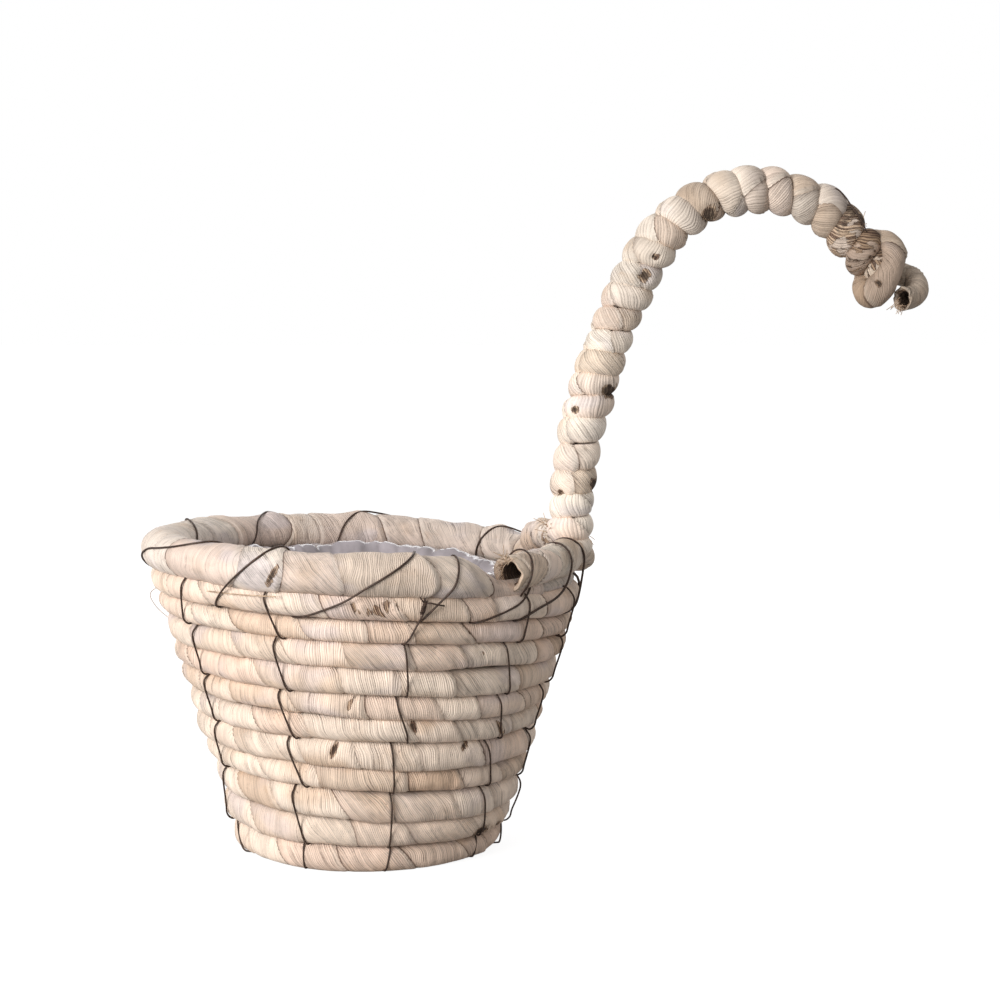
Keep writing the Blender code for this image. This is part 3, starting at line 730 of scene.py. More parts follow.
def thread_finish():
    made, shader = material_of("Husk Thread", 0.7)
    if shader is None:
        return made
    shares = stretch(object_grain(made, 260.0), 0.4, 0.62)
    tan = bpy.context.scene.planter_colours.tan
    feed(shader.inputs["Base Color"], blend(shares, THREAD_COLOUR, (*tan, 1)))
    return made


# Wall


ROW_COLUMNS = 40

# How far a row's centre line wanders sideways and up, how it ripples and how far the whole row stands out
ROW_WANDER, ROW_RISE, ROW_RIPPLE, ROW_SET_OUT = 0.0008, 0.0009, 0.0004, 0.0007
TEAR_DEPTH = 0.0016


def groove_height(number):
    return ROW_GROOVE_SHARES[number] * WALL_TOP


def wall_ring(height):
    """Radius of the rows' centre line at a height."""
    return LOW_HOOP[0] + (height - LOW_HOOP[1]) * WALL_SLOPE


def lobes(angle):
    """The wall is not quite round: how far it bulges at an angle, the same for all rows."""
    return 0.0009 * np.cos(3 * angle - 0.5) + 0.0005 * np.cos(5 * angle + 0.8)


def row_section(number):
    """Centre radius, centre height and half height of a row."""
    low, high = groove_height(number - 1), groove_height(number)
    height = (low + high) / 2
    return wall_ring(height), height, (high - low) / 2


def row_rope(number):
    """A row's section carried round: a rounded box about a circle that wanders a little."""
    ring, height, half = row_section(number)
    seed = 100 * number
    set_out = ROW_SET_OUT * float(np.random.default_rng(seed + 8).uniform(-1, 1))

    def rope(u, v, relief):
        angle = math.pi + TURN * u
        way = math.pi + TURN * v
        wander = ROW_WANDER * waves(u, 0 * u, (14, 1), seed + 5) + set_out
        rise = ROW_RISE * waves(u, 0 * u, (13, 1), seed + 6)
        rise = rise + ROW_RIPPLE * waves(u, 0 * u, (41, 1), seed + 9)
        swell = 1 + 0.06 * waves(u, v, (23, 3), seed + 7)
        out = np.sign(np.cos(way)) * np.abs(np.cos(way)) ** 0.85
        up = np.sign(np.sin(way)) * np.abs(np.sin(way)) ** 0.92
        radius = ring + lobes(angle) + wander + ((ROPE_RADIUS + 0.0002) * swell + relief) * out
        level = height + rise * ease(height / 0.02) + (half + 0.0003 + 0.4 * relief) * up
        points = around(angle, radius, np.maximum(level, FLOOR_GAP))
        tear = TEAR_DEPTH * torn_wall(points) * np.maximum(out, 0)
        points = points - tear[..., None] * around(angle, 1.0, 0.0)
        # Painted shade on the row's top and bottom, where it meets the rows beside it.
        groove = ease((np.abs(np.sin(way)) - 0.93) / 0.06)
        return points, 4 * (ROPE_RADIUS + half) * 0.8, groove

    return rope, TURN * ring, ROW_COLUMNS, seed


def row_grid(number):
    rope, length, turns, seed = row_rope(number)
    return husk_grid(length, turns, seed, True, rope)[0]


def build_row(number):
    rope, length, turns, seed = row_rope(number)
    name = f"row_{number:02d}"
    mesh = husk_skin(name, length, turns, seed, True, rope, torn=torn_wall)
    return place(name, mesh, husk_finish("Row Husk"), "husk_rope", f"coil_row_{number:02d}")


def build_rows():
    for number in range(1, ROW_COUNT + 1):
        build_row(number)


# Rim


RIM_COLUMNS, RIM_STRIP = 64, 0.034
RIM_LUMP_TURN = 34


def rim_rope(angle):
    """Radius of the rim's roll: full, and drawn in where the rope's tail lies on it."""
    angle = np.mod(angle, TURN)
    begun = ease((angle - RIM_THIN_FROM + RIM_TAPER) / RIM_TAPER)
    ended = ease((RIM_THIN_TO + RIM_TAPER - angle) / RIM_TAPER)
    return RIM_ROPE + (RIM_THIN_ROPE - RIM_ROPE) * (begun * ended)


def rim_half_height(angle):
    """Half the rim's height, and how thick it is as a share: the roll is pressed flat where it is thick."""
    radius = rim_rope(angle)
    full = (radius - RIM_THIN_ROPE) / (RIM_ROPE - RIM_THIN_ROPE)
    return radius * (1 - (1 - RIM_FLATNESS) * full), full


def rim_lumps(angle, way):
    """How far lumps of husk stand out on the rim: each is a round bump at its angle and turn."""
    lift = 0 * angle
    for place_at, turn, wide, tall in RIM_LUMPS:
        sideways = signed_turn(np.degrees(angle) - place_at) / wide
        round_it = signed_turn(np.degrees(way) - turn) / RIM_LUMP_TURN
        lift = lift + tall * np.exp(-sideways**2 - round_it**2)
    return lift


def rim_skin():
    """The rolled rim: a tube of changing thickness on the top row, lumpy where husk bunches up."""

    def rope(u, v, relief):
        angle = math.pi + TURN * u
        way = -math.pi / 2 + TURN * v
        radius = rim_rope(angle)
        half, full = rim_half_height(angle)
        swell = 1 + 0.05 * waves(u, v, (19, 3), 41)
        rise = 0.0008 * waves(u, 0 * u, (9, 1), 42) - RIM_BACK_SINK * (1 - np.cos(angle)) / 2
        relief = relief + rim_lumps(angle, way) * full
        out = RIM_RING + lobes(angle) + (radius * swell + relief) * np.cos(way)
        level = RIM_SEAT + half - 0.0006 + rise * full + (half * swell + 0.0002 + relief) * np.sin(way)
        # Painted shade on the rim's underside, where it sits on the top row.
        groove = ease((-np.sin(way) - 0.8) / 0.2)
        return around(angle, out, level), TURN * RIM_ROPE, groove

    return rope, TURN * RIM_RING, RIM_COLUMNS, 4000


def rim_grid():
    rope, length, turns, seed = rim_skin()
    return husk_grid(length, turns, seed, True, rope, RIM_STRIP)[0]


def build_rim():
    rope, length, turns, seed = rim_skin()
    mesh = husk_skin("rim", length, turns, seed, True, rope, spacing=RIM_STRIP, torn=torn_wall)
    return place("rim", mesh, husk_finish("Rim Husk"), "rim_husk", "rim_coil")


# Base


BASE_COLUMNS, BASE_INNER = 28, 0.016


def build_base():
    """The bottom: one rope laid in a flat spiral, its radius growing evenly with the turn, and its end."""
    inner = BASE_INNER
    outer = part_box("base_coil")[1][0] - ROPE_RADIUS
    turns = (outer - inner) / (2 * ROPE_RADIUS)
    length = math.pi * (inner + outer) * turns

    def rope(u, v, relief):
        angle = TURN * turns * u
        way = math.pi + TURN * v
        ends = closing(u, 40, 40)
        ring = inner + (outer - inner) * u
        out = ring + (ROPE_RADIUS * 1.02 + relief) * ends * np.cos(way)
        level = ROPE_RADIUS + (ROPE_RADIUS + 0.5 * relief) * ends * np.sin(way)
        # Painted shade on the rope's sides, where the turns of the spiral meet.
        groove = ease((np.abs(np.cos(way)) - 0.84) / 0.16)
        return around(angle, out, np.maximum(level, FLOOR_GAP)), TURN * ROPE_RADIUS, groove

    mesh = husk_skin("base", length, BASE_COLUMNS, 5000, False, rope)
    place("base", mesh, husk_finish("Base Husk"), "husk_rope", "base_coil")
    radius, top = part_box("base_button")[1][0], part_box("base_button")[1][2]

    def button(u, v, relief):
        profile = np.sqrt(np.clip(1 - (2 * u - 1) ** 2, 0, 1)) * (radius + 0.001)
        return around(TURN * v, profile + relief, top * u), TURN * radius, 0.0 * u

    mesh = husk_skin("base_end", 0.018, BASE_COLUMNS, 5100, False, button, spacing=0.006)
    return place("base_end", mesh, husk_finish("Base Husk"), "husk_rope", "base_button")


# Handle


# Columns of the handle's ropes, and the gap and half width of the hitched rope on its rod
HANDLE_COLUMNS = 40
HITCH_GAP, HITCH_HALF, HITCH_RADIAL = 0.0003, 0.0046, 0.0047


def handle_route():
    """The hitched rope's centre line above the rim as (x, z) points: three arcs that join smoothly.

    It follows the rod inside, and hangs from it by up to 5 mm towards the tip.
    """
    sizes = bpy.context.scene.planter_sizes
    bow = sizes.handle_stand / (sizes.head_lean - sizes.foot_lean)
    head = math.pi - sizes.head_lean
    turns = (math.pi - sizes.foot_lean, head, math.pi / 2, math.pi / 2 - sizes.fall_sweep)
    spot = np.array([RIM_RING + 0.0012, RIM_SEAT + 2 * RIM_THIN_ROPE + 0.0146])
    route = []
    for radius, first, last in zip((bow, sizes.rise_radius, sizes.fall_radius), turns[:-1], turns[1:]):
        centre = spot - radius * np.array([math.cos(first), math.sin(first)])
        angle = np.linspace(first, last, 120)[:, None]
        route.append(centre + radius * np.concatenate([np.cos(angle), np.sin(angle)], axis=1))
        spot = route[-1][-1]
    return np.concatenate([route[0], route[1][1:], route[2][1:]])


def bend_to_route(route, along, across, side):
    """Carries points given as distances along, out from and beside a straight rod onto the bent rod.

    Past the route's ends the points go on straight.
    """
    length = lengths_along(route)
    inside = np.clip(along, 0, length[-1])
    spot = rows_at(inside, length, route)
    way = rows_at(inside, length, np.gradient(route, length, axis=0))
    way /= np.linalg.norm(way, axis=-1, keepdims=True)
    spot = spot + (along - inside)[..., None] * way
    spot = spot + across[..., None] * np.stack([-way[..., 1], way[..., 0]], axis=-1)
    return np.stack([spot[..., 0], side, spot[..., 1]], axis=-1)


def hitch_place(turn):
    """How far along the handle the rope is after a number of turns: each hitch is a little wider."""
    sizes = bpy.context.scene.planter_sizes
    share = turn / sizes.hitch_count
    return sizes.winding_start + sizes.winding_length * (share + sizes.hitch_growth * (share**2 - share))


def build_winding():
    """The rope hitched round the rod: a helix on the straight rod, bent with it.

    The section is an ellipse, wider along the rod than out from it, and each hitch swells by its own share.
    The last hitch is torn open.
    """
    sizes = bpy.context.scene.planter_sizes
    count = sizes.hitch_count
    route = handle_route()
    centre = sizes.rod_radius + HITCH_GAP + HITCH_HALF

    def rope(u, v, relief):
        turn = u * count
        angle = TURN * turn
        way = math.pi + TURN * v
        pitch = sizes.winding_length / count * (1 + sizes.hitch_growth * (2 * u - 1))
        fat = 1 + 0.17 * waves(u, 0 * u, (2 * count + 1, 1), 71) + 0.07 * waves(u, v, (64, 3), 72)
        ends = closing(u, 60, 60)
        out = centre + (HITCH_RADIAL * fat + relief) * ends * np.cos(way)
        slip = 0.0008 * waves(u, 0 * u, (27, 1), 73)
        axial = 0.0001 + 0.51 * pitch * (0.5 + 0.5 * fat)
        along = hitch_place(turn) + slip + (axial + relief) * ends * np.sin(way)
        points = bend_to_route(route, along, out * np.cos(angle), -out * np.sin(angle))
        # Painted shade: the hitches darken towards the hook's top, and in the grooves between them.
        top_shade = 0.7 * ease((points[..., 2] - 0.26) / 0.09) * (0.6 + 0.4 * waves(u, v, (48, 3), 75))
        groove = np.maximum(ease((np.abs(np.sin(way)) - 0.88) / 0.12), top_shade)
        dent = 0.0022 * torn_hitches(points) * ease(-points[..., 1] / 0.006)
        return points + dent[..., None] * np.array([0, 1.0, 0]), TURN * 0.0063, groove

    def torn_hitches(points):
        torn = 0 * points[..., 0]
        for x, z, wide in TORN_HITCHES:
            away = np.hypot(points[..., 0] - x, points[..., 2] - z) / wide
            torn = np.maximum(torn, ease((1.5 - away) / 1.1) * (points[..., 1] < 0.002))
        return torn

    def torn(points, u, v):
        last = ease((u * count - (count - 1.15)) / 0.25)
        ragged = 0.38 + 0.3 * waves(u, v, (260, 5), 74) + 0.35 * ease((points[..., 2] - 0.326) / 0.012)
        return np.maximum(ragged * last, torn_hitches(points))

    length = TURN * centre * count
    mesh = husk_skin("hitches", length, HANDLE_COLUMNS, 7000, False, rope, spacing=0.021, torn=torn)
    return place("hitches", mesh, husk_finish("Handle Husk"), "handle_husk", "handle_winding")


def smooth_path(points, count):
    """A smooth curve through points, in even steps, and its length.

    Between two of the points it is a cubic whose slopes come from their neighbours.
    """
    points = np.asarray(points, float)
    padded = np.concatenate([2 * points[:1] - points[1:2], points, 2 * points[-1:] - points[-2:-1]])
    place_at = np.linspace(0, len(points) - 1, count)
    i = np.minimum(place_at.astype(int), len(points) - 2)
    t = (place_at - i)[:, None]
    a, b, c, d = padded[i], padded[i + 1], padded[i + 2], padded[i + 3]
    square, cube = 2 * a - 5 * b + 4 * c - d, 3 * b - a - 3 * c + d
    curve = 0.5 * (2 * b + (c - a) * t + square * t**2 + cube * t**3)
    steps = lengths_along(curve)
    return rows_at(np.linspace(0, steps[-1], count), steps, curve), steps[-1]


def carried_frames(path):
    """Two directions square to a path at each point, carried along it with the least twist."""
    ways = np.gradient(path, axis=0)
    ways /= np.linalg.norm(ways, axis=1, keepdims=True)
    side = np.cross(ways[0], (0.3, -0.9, 0.2))
    sides = []
    for way in ways:
        side = side - way * (side @ way)
        side = side / np.linalg.norm(side)
        sides.append(side)
    sides = np.array(sides)
    return sides, np.cross(ways, sides)


def tube_along(path, radius_at, u, v, relief):
    """Points of a tube about a path: at each share along, a circle in the path's two square directions."""
    where, index = u * (len(path) - 1), np.arange(len(path))
    spot, first, second = (rows_at(where, index, table) for table in (path, *carried_frames(path)))
    radius = (radius_at(u, v) + relief)[..., None]
    angle = (TURN * v)[..., None]
    return spot + radius * (np.cos(angle) * first + np.sin(angle) * second)


def build_knot():
    """The knot at the tip: torn turns round the rod, a thick bight over them, and an open stub."""
    sizes = bpy.context.scene.planter_sizes
    route = handle_route()
    begin = sizes.winding_start + sizes.winding_length

    def turn_rope(u, v, relief):
        turn = 1.75 * u
        way = math.pi + TURN * v
        ends = closing(u, 14, 10)
        centre = 0.007 * (1 - 0.7 * ease((turn - 0.95) / 0.75))
        fat = (0.0056 + 0.0007 * waves(u, v, (7, 3), 83) + relief) * ends
        along = begin + 0.012 * turn + 1.08 * fat * np.sin(way)
        out = centre + fat * np.cos(way)
        points = bend_to_route(route, along, out * np.cos(TURN * turn), -out * np.sin(TURN * turn))
        # The last value is painted shade between the turns.
        return points, TURN * 0.0068, ease((np.abs(np.sin(way)) - 0.9) / 0.1)

    def turn_torn(points, u, v):
        return 0.4 + 0.3 * waves(u, v, (9, 5), 84) + 0.3 * ease((points[..., 2] - 0.318) / 0.008)

    columns = HANDLE_COLUMNS
    mesh = husk_skin("knot_turn", 0.075, columns, 8200, False, turn_rope, spacing=0.013, torn=turn_torn)
    place("knot_turn", mesh, husk_finish("Knot Husk"), "handle_husk")

    bight = (
        (0.269, 0.009, 0.323), (0.272, 0.004, 0.3262), (0.2762, -0.002, 0.3262), (0.2805, -0.007, 0.3235),
        (0.2818, -0.01, 0.3185), (0.2805, -0.0112, 0.312), (0.2775, -0.0112, 0.3062),
        (0.2738, -0.0092, 0.3012), (0.2705, -0.005, 0.299), (0.2685, 0.001, 0.302),
        (0.2705, 0.006, 0.307), (0.275, 0.008, 0.312),
    )
    path, length = smooth_path(bight, 220)

    def bight_radius(u, v):
        fat = 0.0056 + 0.0018 * np.exp(-(((u - 0.66) / 0.13) ** 2)) + 0.0006 * waves(u, v, (14, 4), 81)
        return fat * (0.4 + 0.6 * np.sqrt(ease(u * 8))) * (0.45 + 0.55 * np.sqrt(ease((1 - u) * 8)))

    def bight_rope(u, v, relief):
        return tube_along(path, bight_radius, u, v, relief), TURN * 0.0086, 0.0 * u

    def bight_torn(points, u, v):
        right, up = points[..., 0] - 0.2728, points[..., 2] - 0.304
        spots = np.hypot((0.76 * right - 0.65 * up) / 0.003, (0.65 * right + 0.76 * up) / 0.001)
        return np.maximum(0.75 * ease((0.1 - u) / 0.08), ease(1.6 - spots) * (points[..., 1] < -0.01))

    mesh = husk_skin("knot", length, 44, 8000, False, bight_rope, spacing=0.034, torn=bight_torn)
    place("knot", mesh, husk_finish("Knot Husk"), "handle_husk", "hook_knot")

    stub = (
        (0.28, 0.006, 0.311), (0.288, 0.005, 0.309), (0.2945, 0.0015, 0.3055), (0.2955, -0.0035, 0.3005),
        (0.2912, -0.0088, 0.2964), (0.2838, -0.015, 0.2958),
    )
    return open_rope("knot_stub", stub, 0.0057, 8400, husk_finish("Knot Husk"))


def open_rope(name, points, radius, seed, finish, *nodes):
    """A rope along points whose end is torn open.

    Its skin runs to a ragged lip, at lip as a share of the whole, turns in there and runs back inside.
    """
    path, length = smooth_path(points, 160)
    lip = 0.72

    def rope(u, v, relief):
        out_share = np.clip(u / lip, 0, 1)
        in_share = np.clip((u - lip) / (1 - lip), 0, 1)
        inward = ease((u - lip) / 0.03)
        ragged = 0.0011 / length * waves(v, 0 * v, (13, 1), seed + 5)
        ragged = ragged * ease((u - 0.5) * 5) * ease((1 - u) * 6)
        at = np.clip(out_share * 0.94 - 0.34 * in_share + ragged, 0, 1)
        flare = 1 + 0.05 * ease((out_share - 0.7) * 3.4) * (1 - in_share)
        thick = radius * flare * (0.5 + 0.5 * np.sqrt(ease(out_share * 6)))
        thick = thick - (0.36 + 0.2 * in_share) * radius * inward
        thick = thick - radius * 0.4 * ease((in_share - 0.75) * 4)
        thick = thick + 0.0004 * waves(u, v, (9, 7), seed + 6)
        return tube_along(path, lambda a, b: thick, at, v, relief * (1 - inward)), TURN * radius, 0.0 * u

    def torn(grid, u, v):
        return ease((u - lip - 0.004) / 0.03) * 0.95

    mesh = husk_skin(name, length / lip, 48, seed, False, rope, spacing=0.017, torn=torn)
    return place(name, mesh, finish, "handle_husk", *nodes)


def build_foot_wrap(name, line, radius, tear):
    """One wrap of husk at the foot of the handle, along a line of points."""
    path, length = smooth_path(line, 120)

    def fat(along, about):
        swell = radius + 0.001 * waves(along, about, (5, 3), 95)
        return swell * (0.4 + 0.6 * closing(along, 5, 5))

    def rope(u, v, relief):
        return tube_along(path, fat, u, v, 1.3 * relief), TURN * radius, 0.0 * u

    def torn(grid, u, v):
        return tear + 0.45 * ease((0.3 - u) / 0.25)

    mesh = husk_skin(name, length, HANDLE_COLUMNS, 9300 + len(name), False, rope, spacing=0.014, torn=torn)
    return place(name, mesh, husk_finish("Tail Husk"), "handle_husk")


def build_tail():
    """The rope's tail on the rim, from the foot of the handle to its open mouth, and the foot's wraps."""
    degrees, rise, out = np.array((
        (86, 15.4, 0.0), (79, 15.6, 0.4), (72, 15.0, 0.2), (65, 14.6, 0.6), (58, 13.8, 0.8),
        (52, 12.8, 1.2), (46.5, 11.8, 1.8), (41.0, 11.0, 2.4),
    )).T
    points = around(np.radians(degrees), RIM_RING + out / 1000, RIM_SEAT + rise / 1000)
    open_rope("tail", points, 0.0082, 9000, husk_finish("Tail Husk"), "handle_tail")
    collar = (
        (0.096, -0.022, 0.159), (0.103, -0.016, 0.1655), (0.111, -0.008, 0.168), (0.1165, 0.003, 0.166),
        (0.1135, 0.012, 0.1625), (0.105, 0.015, 0.161), (0.0975, 0.009, 0.162),
    )
    wad = (
        (0.104, 0.005, 0.172), (0.0995, 0.015, 0.1745), (0.0935, 0.026, 0.172), (0.087, 0.037, 0.167),
    )
    build_foot_wrap("foot_collar", collar, 0.0062, 0.12)
    build_foot_wrap("foot_wad", wad, 0.0066, 0.16)


# Wires


def wire_mesh(name, path, radius, sides=8, closed=False):
    """A round wire about a path, as a plain tube."""
    first, second = carried_frames(path)
    angle = TURN * np.arange(sides)[None, :, None] / sides
    grid = path[:, None] + radius * (np.cos(angle) * first[:, None] + np.sin(angle) * second[:, None])
    return skin(name, grid, closed, {}, {})


def on_row(grid, angle, way, gap):
    """A point on a row's skin at an angle and a turn about the row, outwards to up, held off by a gap."""
    rows, columns = grid.shape[:2]
    i = int(round((angle / TURN - 0.5) * rows)) + np.arange(-1, 2)
    j = int(round((way / TURN - 0.5) * columns)) % columns
    near = grid[i % rows, j]
    out = float(np.hypot(near[:, 0], near[:, 1]).max())
    return around(angle, out + gap * math.cos(way), float(near[:, 2].mean()) + gap * math.sin(way))


def stitch_path(number, rows):
    """An upright wire: down the outside in stitches over two rows each, and back up inside.

    Each stitch comes out of a gap between rows, lies on the skin of its rows and goes into the next gap but
    one.
    It sweeps sideways, most of all near its lower end. In the gap the wire jogs to the next start.
    """
    draw = np.random.default_rng(600 + number)
    stake = STAKE_ANGLES[number - 1]
    radius = bpy.context.scene.planter_sizes.wire_radius
    section = []
    for step, top in enumerate(range(ROW_COUNT, 0, -2)):
        low = max(top - 2, 0)
        drawn = (stake + draw.uniform(-3, 1), stake + draw.uniform(0, 4))
        start, end = STITCH_ANGLES[number][step] if number in STITCH_ANGLES else drawn
        gap = radius + (0.0001 + 0.0004 * draw.uniform(0, 1)) * (3 if number == 5 else 1)
        curl = 0.9 * (-1 if stake < 0 else 1)
        high, deep = groove_height(top), groove_height(low)
        ways = (1.52, 1.15, 0.55, 0.05) if top > low + 1 else (1.52, 1.15, 0.55, -0.55, -1.25)
        for row, turns in ((top, ways), (top - 1, (-0.05, -0.6, -1.15, -1.52))):
            if row <= low:
                continue
            for way in turns:
                level = row_section(row)[1] + row_section(row)[2] * math.sin(way)
                share = min(max((high - level) / (high - deep), 0), 1)
                angle = math.radians(start + (end - start) * share**1.7 + curl * math.sin(math.pi * share))
                held = gap if abs(way) < 1.2 else -1.5 * radius
                section.append(on_row(rows[row - 1], angle, way, held))
    low_row, top_row = row_section(1), row_section(ROW_COUNT)
    stake = math.radians(stake)
    under = 0.0009
    reach = ROPE_RADIUS + 1.5 * radius
    for share in (0.55, 0.0, -0.5, -0.95):
        section.append(around(stake, low_row[0] + share * ROPE_RADIUS, under + 0.002 * abs(share)))
    section.append(around(stake, low_row[0] - reach, low_row[1]))
    section.append(around(stake, top_row[0] - reach, top_row[1]))
    section.append(around(stake, top_row[0] - 0.5 * reach, groove_height(ROW_COUNT) - 0.0005))
    section.append(section[0])
    path, _ = smooth_path(section, 800)
    path[:, 2] = np.maximum(path[:, 2], under)
    return path[:-1]


def build_stitches():
    radius = bpy.context.scene.planter_sizes.wire_radius
    rows = [row_grid(number) for number in range(1, ROW_COUNT + 1)]
    for number in range(1, len(STAKE_ANGLES) + 1):
        name = f"stitch_wire_{number:02d}"
        mesh = wire_mesh(name, stitch_path(number, rows), radius, closed=True)
        place(name, mesh, wire_finish(), "binding_wire", f"wall_lashing_{number:02d}")


def evened(table, width):
    """Each row of a table replaced by the mean of its neighbours over a width, the ends held."""
    half = width // 2
    first, last = (np.repeat(end, half, axis=0) for end in (table[:1], table[-1:]))
    padded = np.concatenate([first, table, last])
    sums = np.cumsum(np.concatenate([0 * padded[:1], padded]), axis=0)
    return (sums[width:] - sums[:-width]) / width


def outline_at(grid, angles):
    """A hoop's outline at angles round the basket, as (radius, height) of the nearest ring of its grid."""
    rings = grid[np.round((angles / TURN - 0.5) * len(grid)).astype(int) % len(grid)]
    return np.stack([np.hypot(rings[..., 0], rings[..., 1]), rings[..., 2]], axis=-1)


def tail_outline(angles):
    """The tail's outline at angles, shrunk to a point inside the rim where the tail isn't."""
    turn = TURN * np.arange(24) / 24
    degrees = np.degrees(angles)
    shown = ease((degrees - 39) / 3) * ease((88 - degrees) / 4)
    height = RIM_SEAT + np.interp(degrees, (42, 65, 86), (0.011, 0.0146, 0.0154))
    thick = (np.interp(degrees, (54, 62), (0.0104, 0.0092)) * shown)[:, None]
    level = (RIM_SEAT + 0.004 + (height - RIM_SEAT - 0.004) * shown)[:, None]
    return np.stack([RIM_RING + 0.001 + thick * np.cos(turn), level + thick * np.sin(turn)], axis=-1)


def wrap_wire(anchors, outlines, gap, spread=15, settled=9):
    """A wire pulled tight round outlines, through (turns, degrees) anchors.

    At each angle the wire lies on the closed line that a string round the outlines takes: in every
    direction, the point that reaches furthest. The part of a turn is the share of that line's length, from
    the lowest point outwards and up.
    """
    turns, degrees = np.array(anchors, float).T
    at = np.linspace(turns[0], turns[-1], max(60, int((turns[-1] - turns[0]) * 150)))
    angles = evened(np.radians(np.interp(at, turns, degrees)), spread)
    way = -math.pi / 2 + TURN * np.arange(121) / 120
    towards = np.stack([np.cos(way), np.sin(way)], axis=-1)
    spots = np.concatenate([outline(angles) for outline in outlines], axis=1)
    best = np.einsum("apk,dk->adp", spots, towards).argmax(axis=-1)
    lines = np.take_along_axis(spots, best[..., None], axis=1) + gap * towards
    lines = evened(lines.reshape(len(at), -1), 15).reshape(lines.shape)
    lengths = np.cumsum(np.linalg.norm(np.diff(lines, axis=1), axis=-1), axis=1)
    lengths = np.concatenate([np.zeros((len(at), 1)), lengths], axis=1)
    wanted = np.mod(at, 1)[:, None] * lengths[:, -1:]
    low = np.clip((lengths < wanted).sum(axis=1) - 1, 0, len(way) - 2)
    each = np.arange(len(at))
    step = np.maximum(lengths[each, low + 1] - lengths[each, low], 1e-9)
    share = (wanted[:, 0] - lengths[each, low]) / step
    spot = lines[each, low] + np.clip(share, 0, 1)[:, None] * (lines[each, low + 1] - lines[each, low])
    points = around(angles, spot[:, 0], spot[:, 1])
    steps = lengths_along(points)
    return evened(rows_at(np.arange(0, steps[-1], 0.0009), steps, points), settled)


# Turns of the rim wire and the angle reached at each, from behind the handle round the back to the tail
RIM_WIRE = (
    (0.0, 118), (0.3, 124), (0.45, 132), (0.6, 140), (0.8, 144), (1.0, 147), (1.2, 152), (1.36, 171),
    (1.47, 181), (1.6, 191), (1.8, 195), (2.0, 197), (2.3, 203), (2.47, 213), (2.55, 222), (2.75, 227),
    (3.0, 230), (3.25, 236), (3.45, 247), (3.6, 256), (3.8, 264), (4.0, 274), (4.15, 281), (4.23, 280),
    (4.3, 291), (4.36, 304.6), (4.4, 312), (4.5, 317), (4.75, 318), (5.0, 318.5), (5.1, 320.1),
    (5.19, 326.7), (5.31, 332.5), (5.36, 336.4), (5.45, 340), (5.7, 341), (6.0, 340), (6.04, 341.9),
    (6.065, 348), (6.08, 352), (6.13, 356.4), (6.23, 361.5), (6.355, 371.8), (6.45, 376), (6.7, 376.5),
    (7.0, 376), (7.12, 377), (7.2, 383.1), (7.33, 385.2), (7.45, 387), (7.7, 389), (8.0, 391),
    (8.14, 394.6), (8.17, 401), (8.25, 406.6), (8.35, 411), (8.5, 413), (9.0, 413),
)

# The same for the wire round the tail's mouth and the one over the tail by the foot of the handle
MOUTH_WIRE = ((0.0, 48.0), (0.12, 46.6), (0.25, 47.0), (0.4, 49.0), (0.5, 50.0), (0.75, 50.0), (1.0, 49.0))
FOOT_WIRE = (
    (0.0, 46.0), (0.08, 48.5), (0.12, 52.0), (0.17, 60.0), (0.23, 65.0), (0.3, 67.0), (0.38, 67.5),
    (0.5, 69.0), (0.75, 71.0), (1.0, 73.0), (1.1, 76.0), (1.2, 79.0), (1.32, 80.5), (1.45, 81.0),
    (1.7, 81.0), (2.0, 80.0),
)


def build_rim_wires():
    """The wires round the rim: the long one, and the two that hold the tail."""
    radius = bpy.context.scene.planter_sizes.wire_radius
    rim, row = rim_grid(), row_grid(ROW_COUNT)
    on_rim = partial(outline_at, rim)

    def under_rim(angles):
        """The top row's outline, drawn up into the rim where the wire hugs the rim alone."""
        degrees = np.degrees(angles) % 360
        shown = 1 - ease((degrees - 245) / 8) * ease((302 - degrees) / 5)
        inside = np.array([RIM_RING, RIM_SEAT + 0.008])
        return inside + (outline_at(row, angles) - inside) * shown[:, None, None]

    for name, anchors, outlines, thick, node in (
        ("rim_wire", RIM_WIRE, (on_rim, under_rim), 1.05, "rim_lashing"),
        ("tail_wire", MOUTH_WIRE, (on_rim, tail_outline), 1.0, "tail_lashing"),
        ("foot_wire", FOOT_WIRE, (on_rim, under_rim, tail_outline), 1.2, None),
    ):
        path = wrap_wire(anchors, outlines, radius * thick + 0.0002, 31 if name == "rim_wire" else 9)
        mesh = wire_mesh(name, path, radius * thick)
        place(name, mesh, wire_finish(), "binding_wire", *([node] if node else []))


def wire_bundle(name, lines, radius, finish, slot):
    """Several short wires or threads in one piece, each a smooth tube through its points."""
    sides = 6
    angle = TURN * np.arange(sides)[None, :, None] / sides
    points, blocks, start = [], [], 0
    for line in lines:
        path = smooth_path(line, max(8, len(line) * 6))[0]
        first, second = carried_frames(path)
        from_end = np.minimum(np.arange(len(path)), np.arange(len(path))[::-1])
        taper = radius * np.minimum(1, from_end + 0.4)
        ring = np.cos(angle) * first[:, None] + np.sin(angle) * second[:, None]
        grid = path[:, None] + taper[:, None, None] * ring
        caps = np.array([np.arange(sides)[::-1], np.arange(sides) + (len(path) - 1) * sides])
        points.append(grid.reshape(-1, 3))
        blocks.append((quads_of(len(path), sides, False) + start, caps + start))
        start += len(path) * sides
    faces = [np.concatenate([block[kind] for block in blocks]) for kind in (0, 1)]
    return place(name, fill_mesh(name, np.concatenate(points), faces), finish, slot)


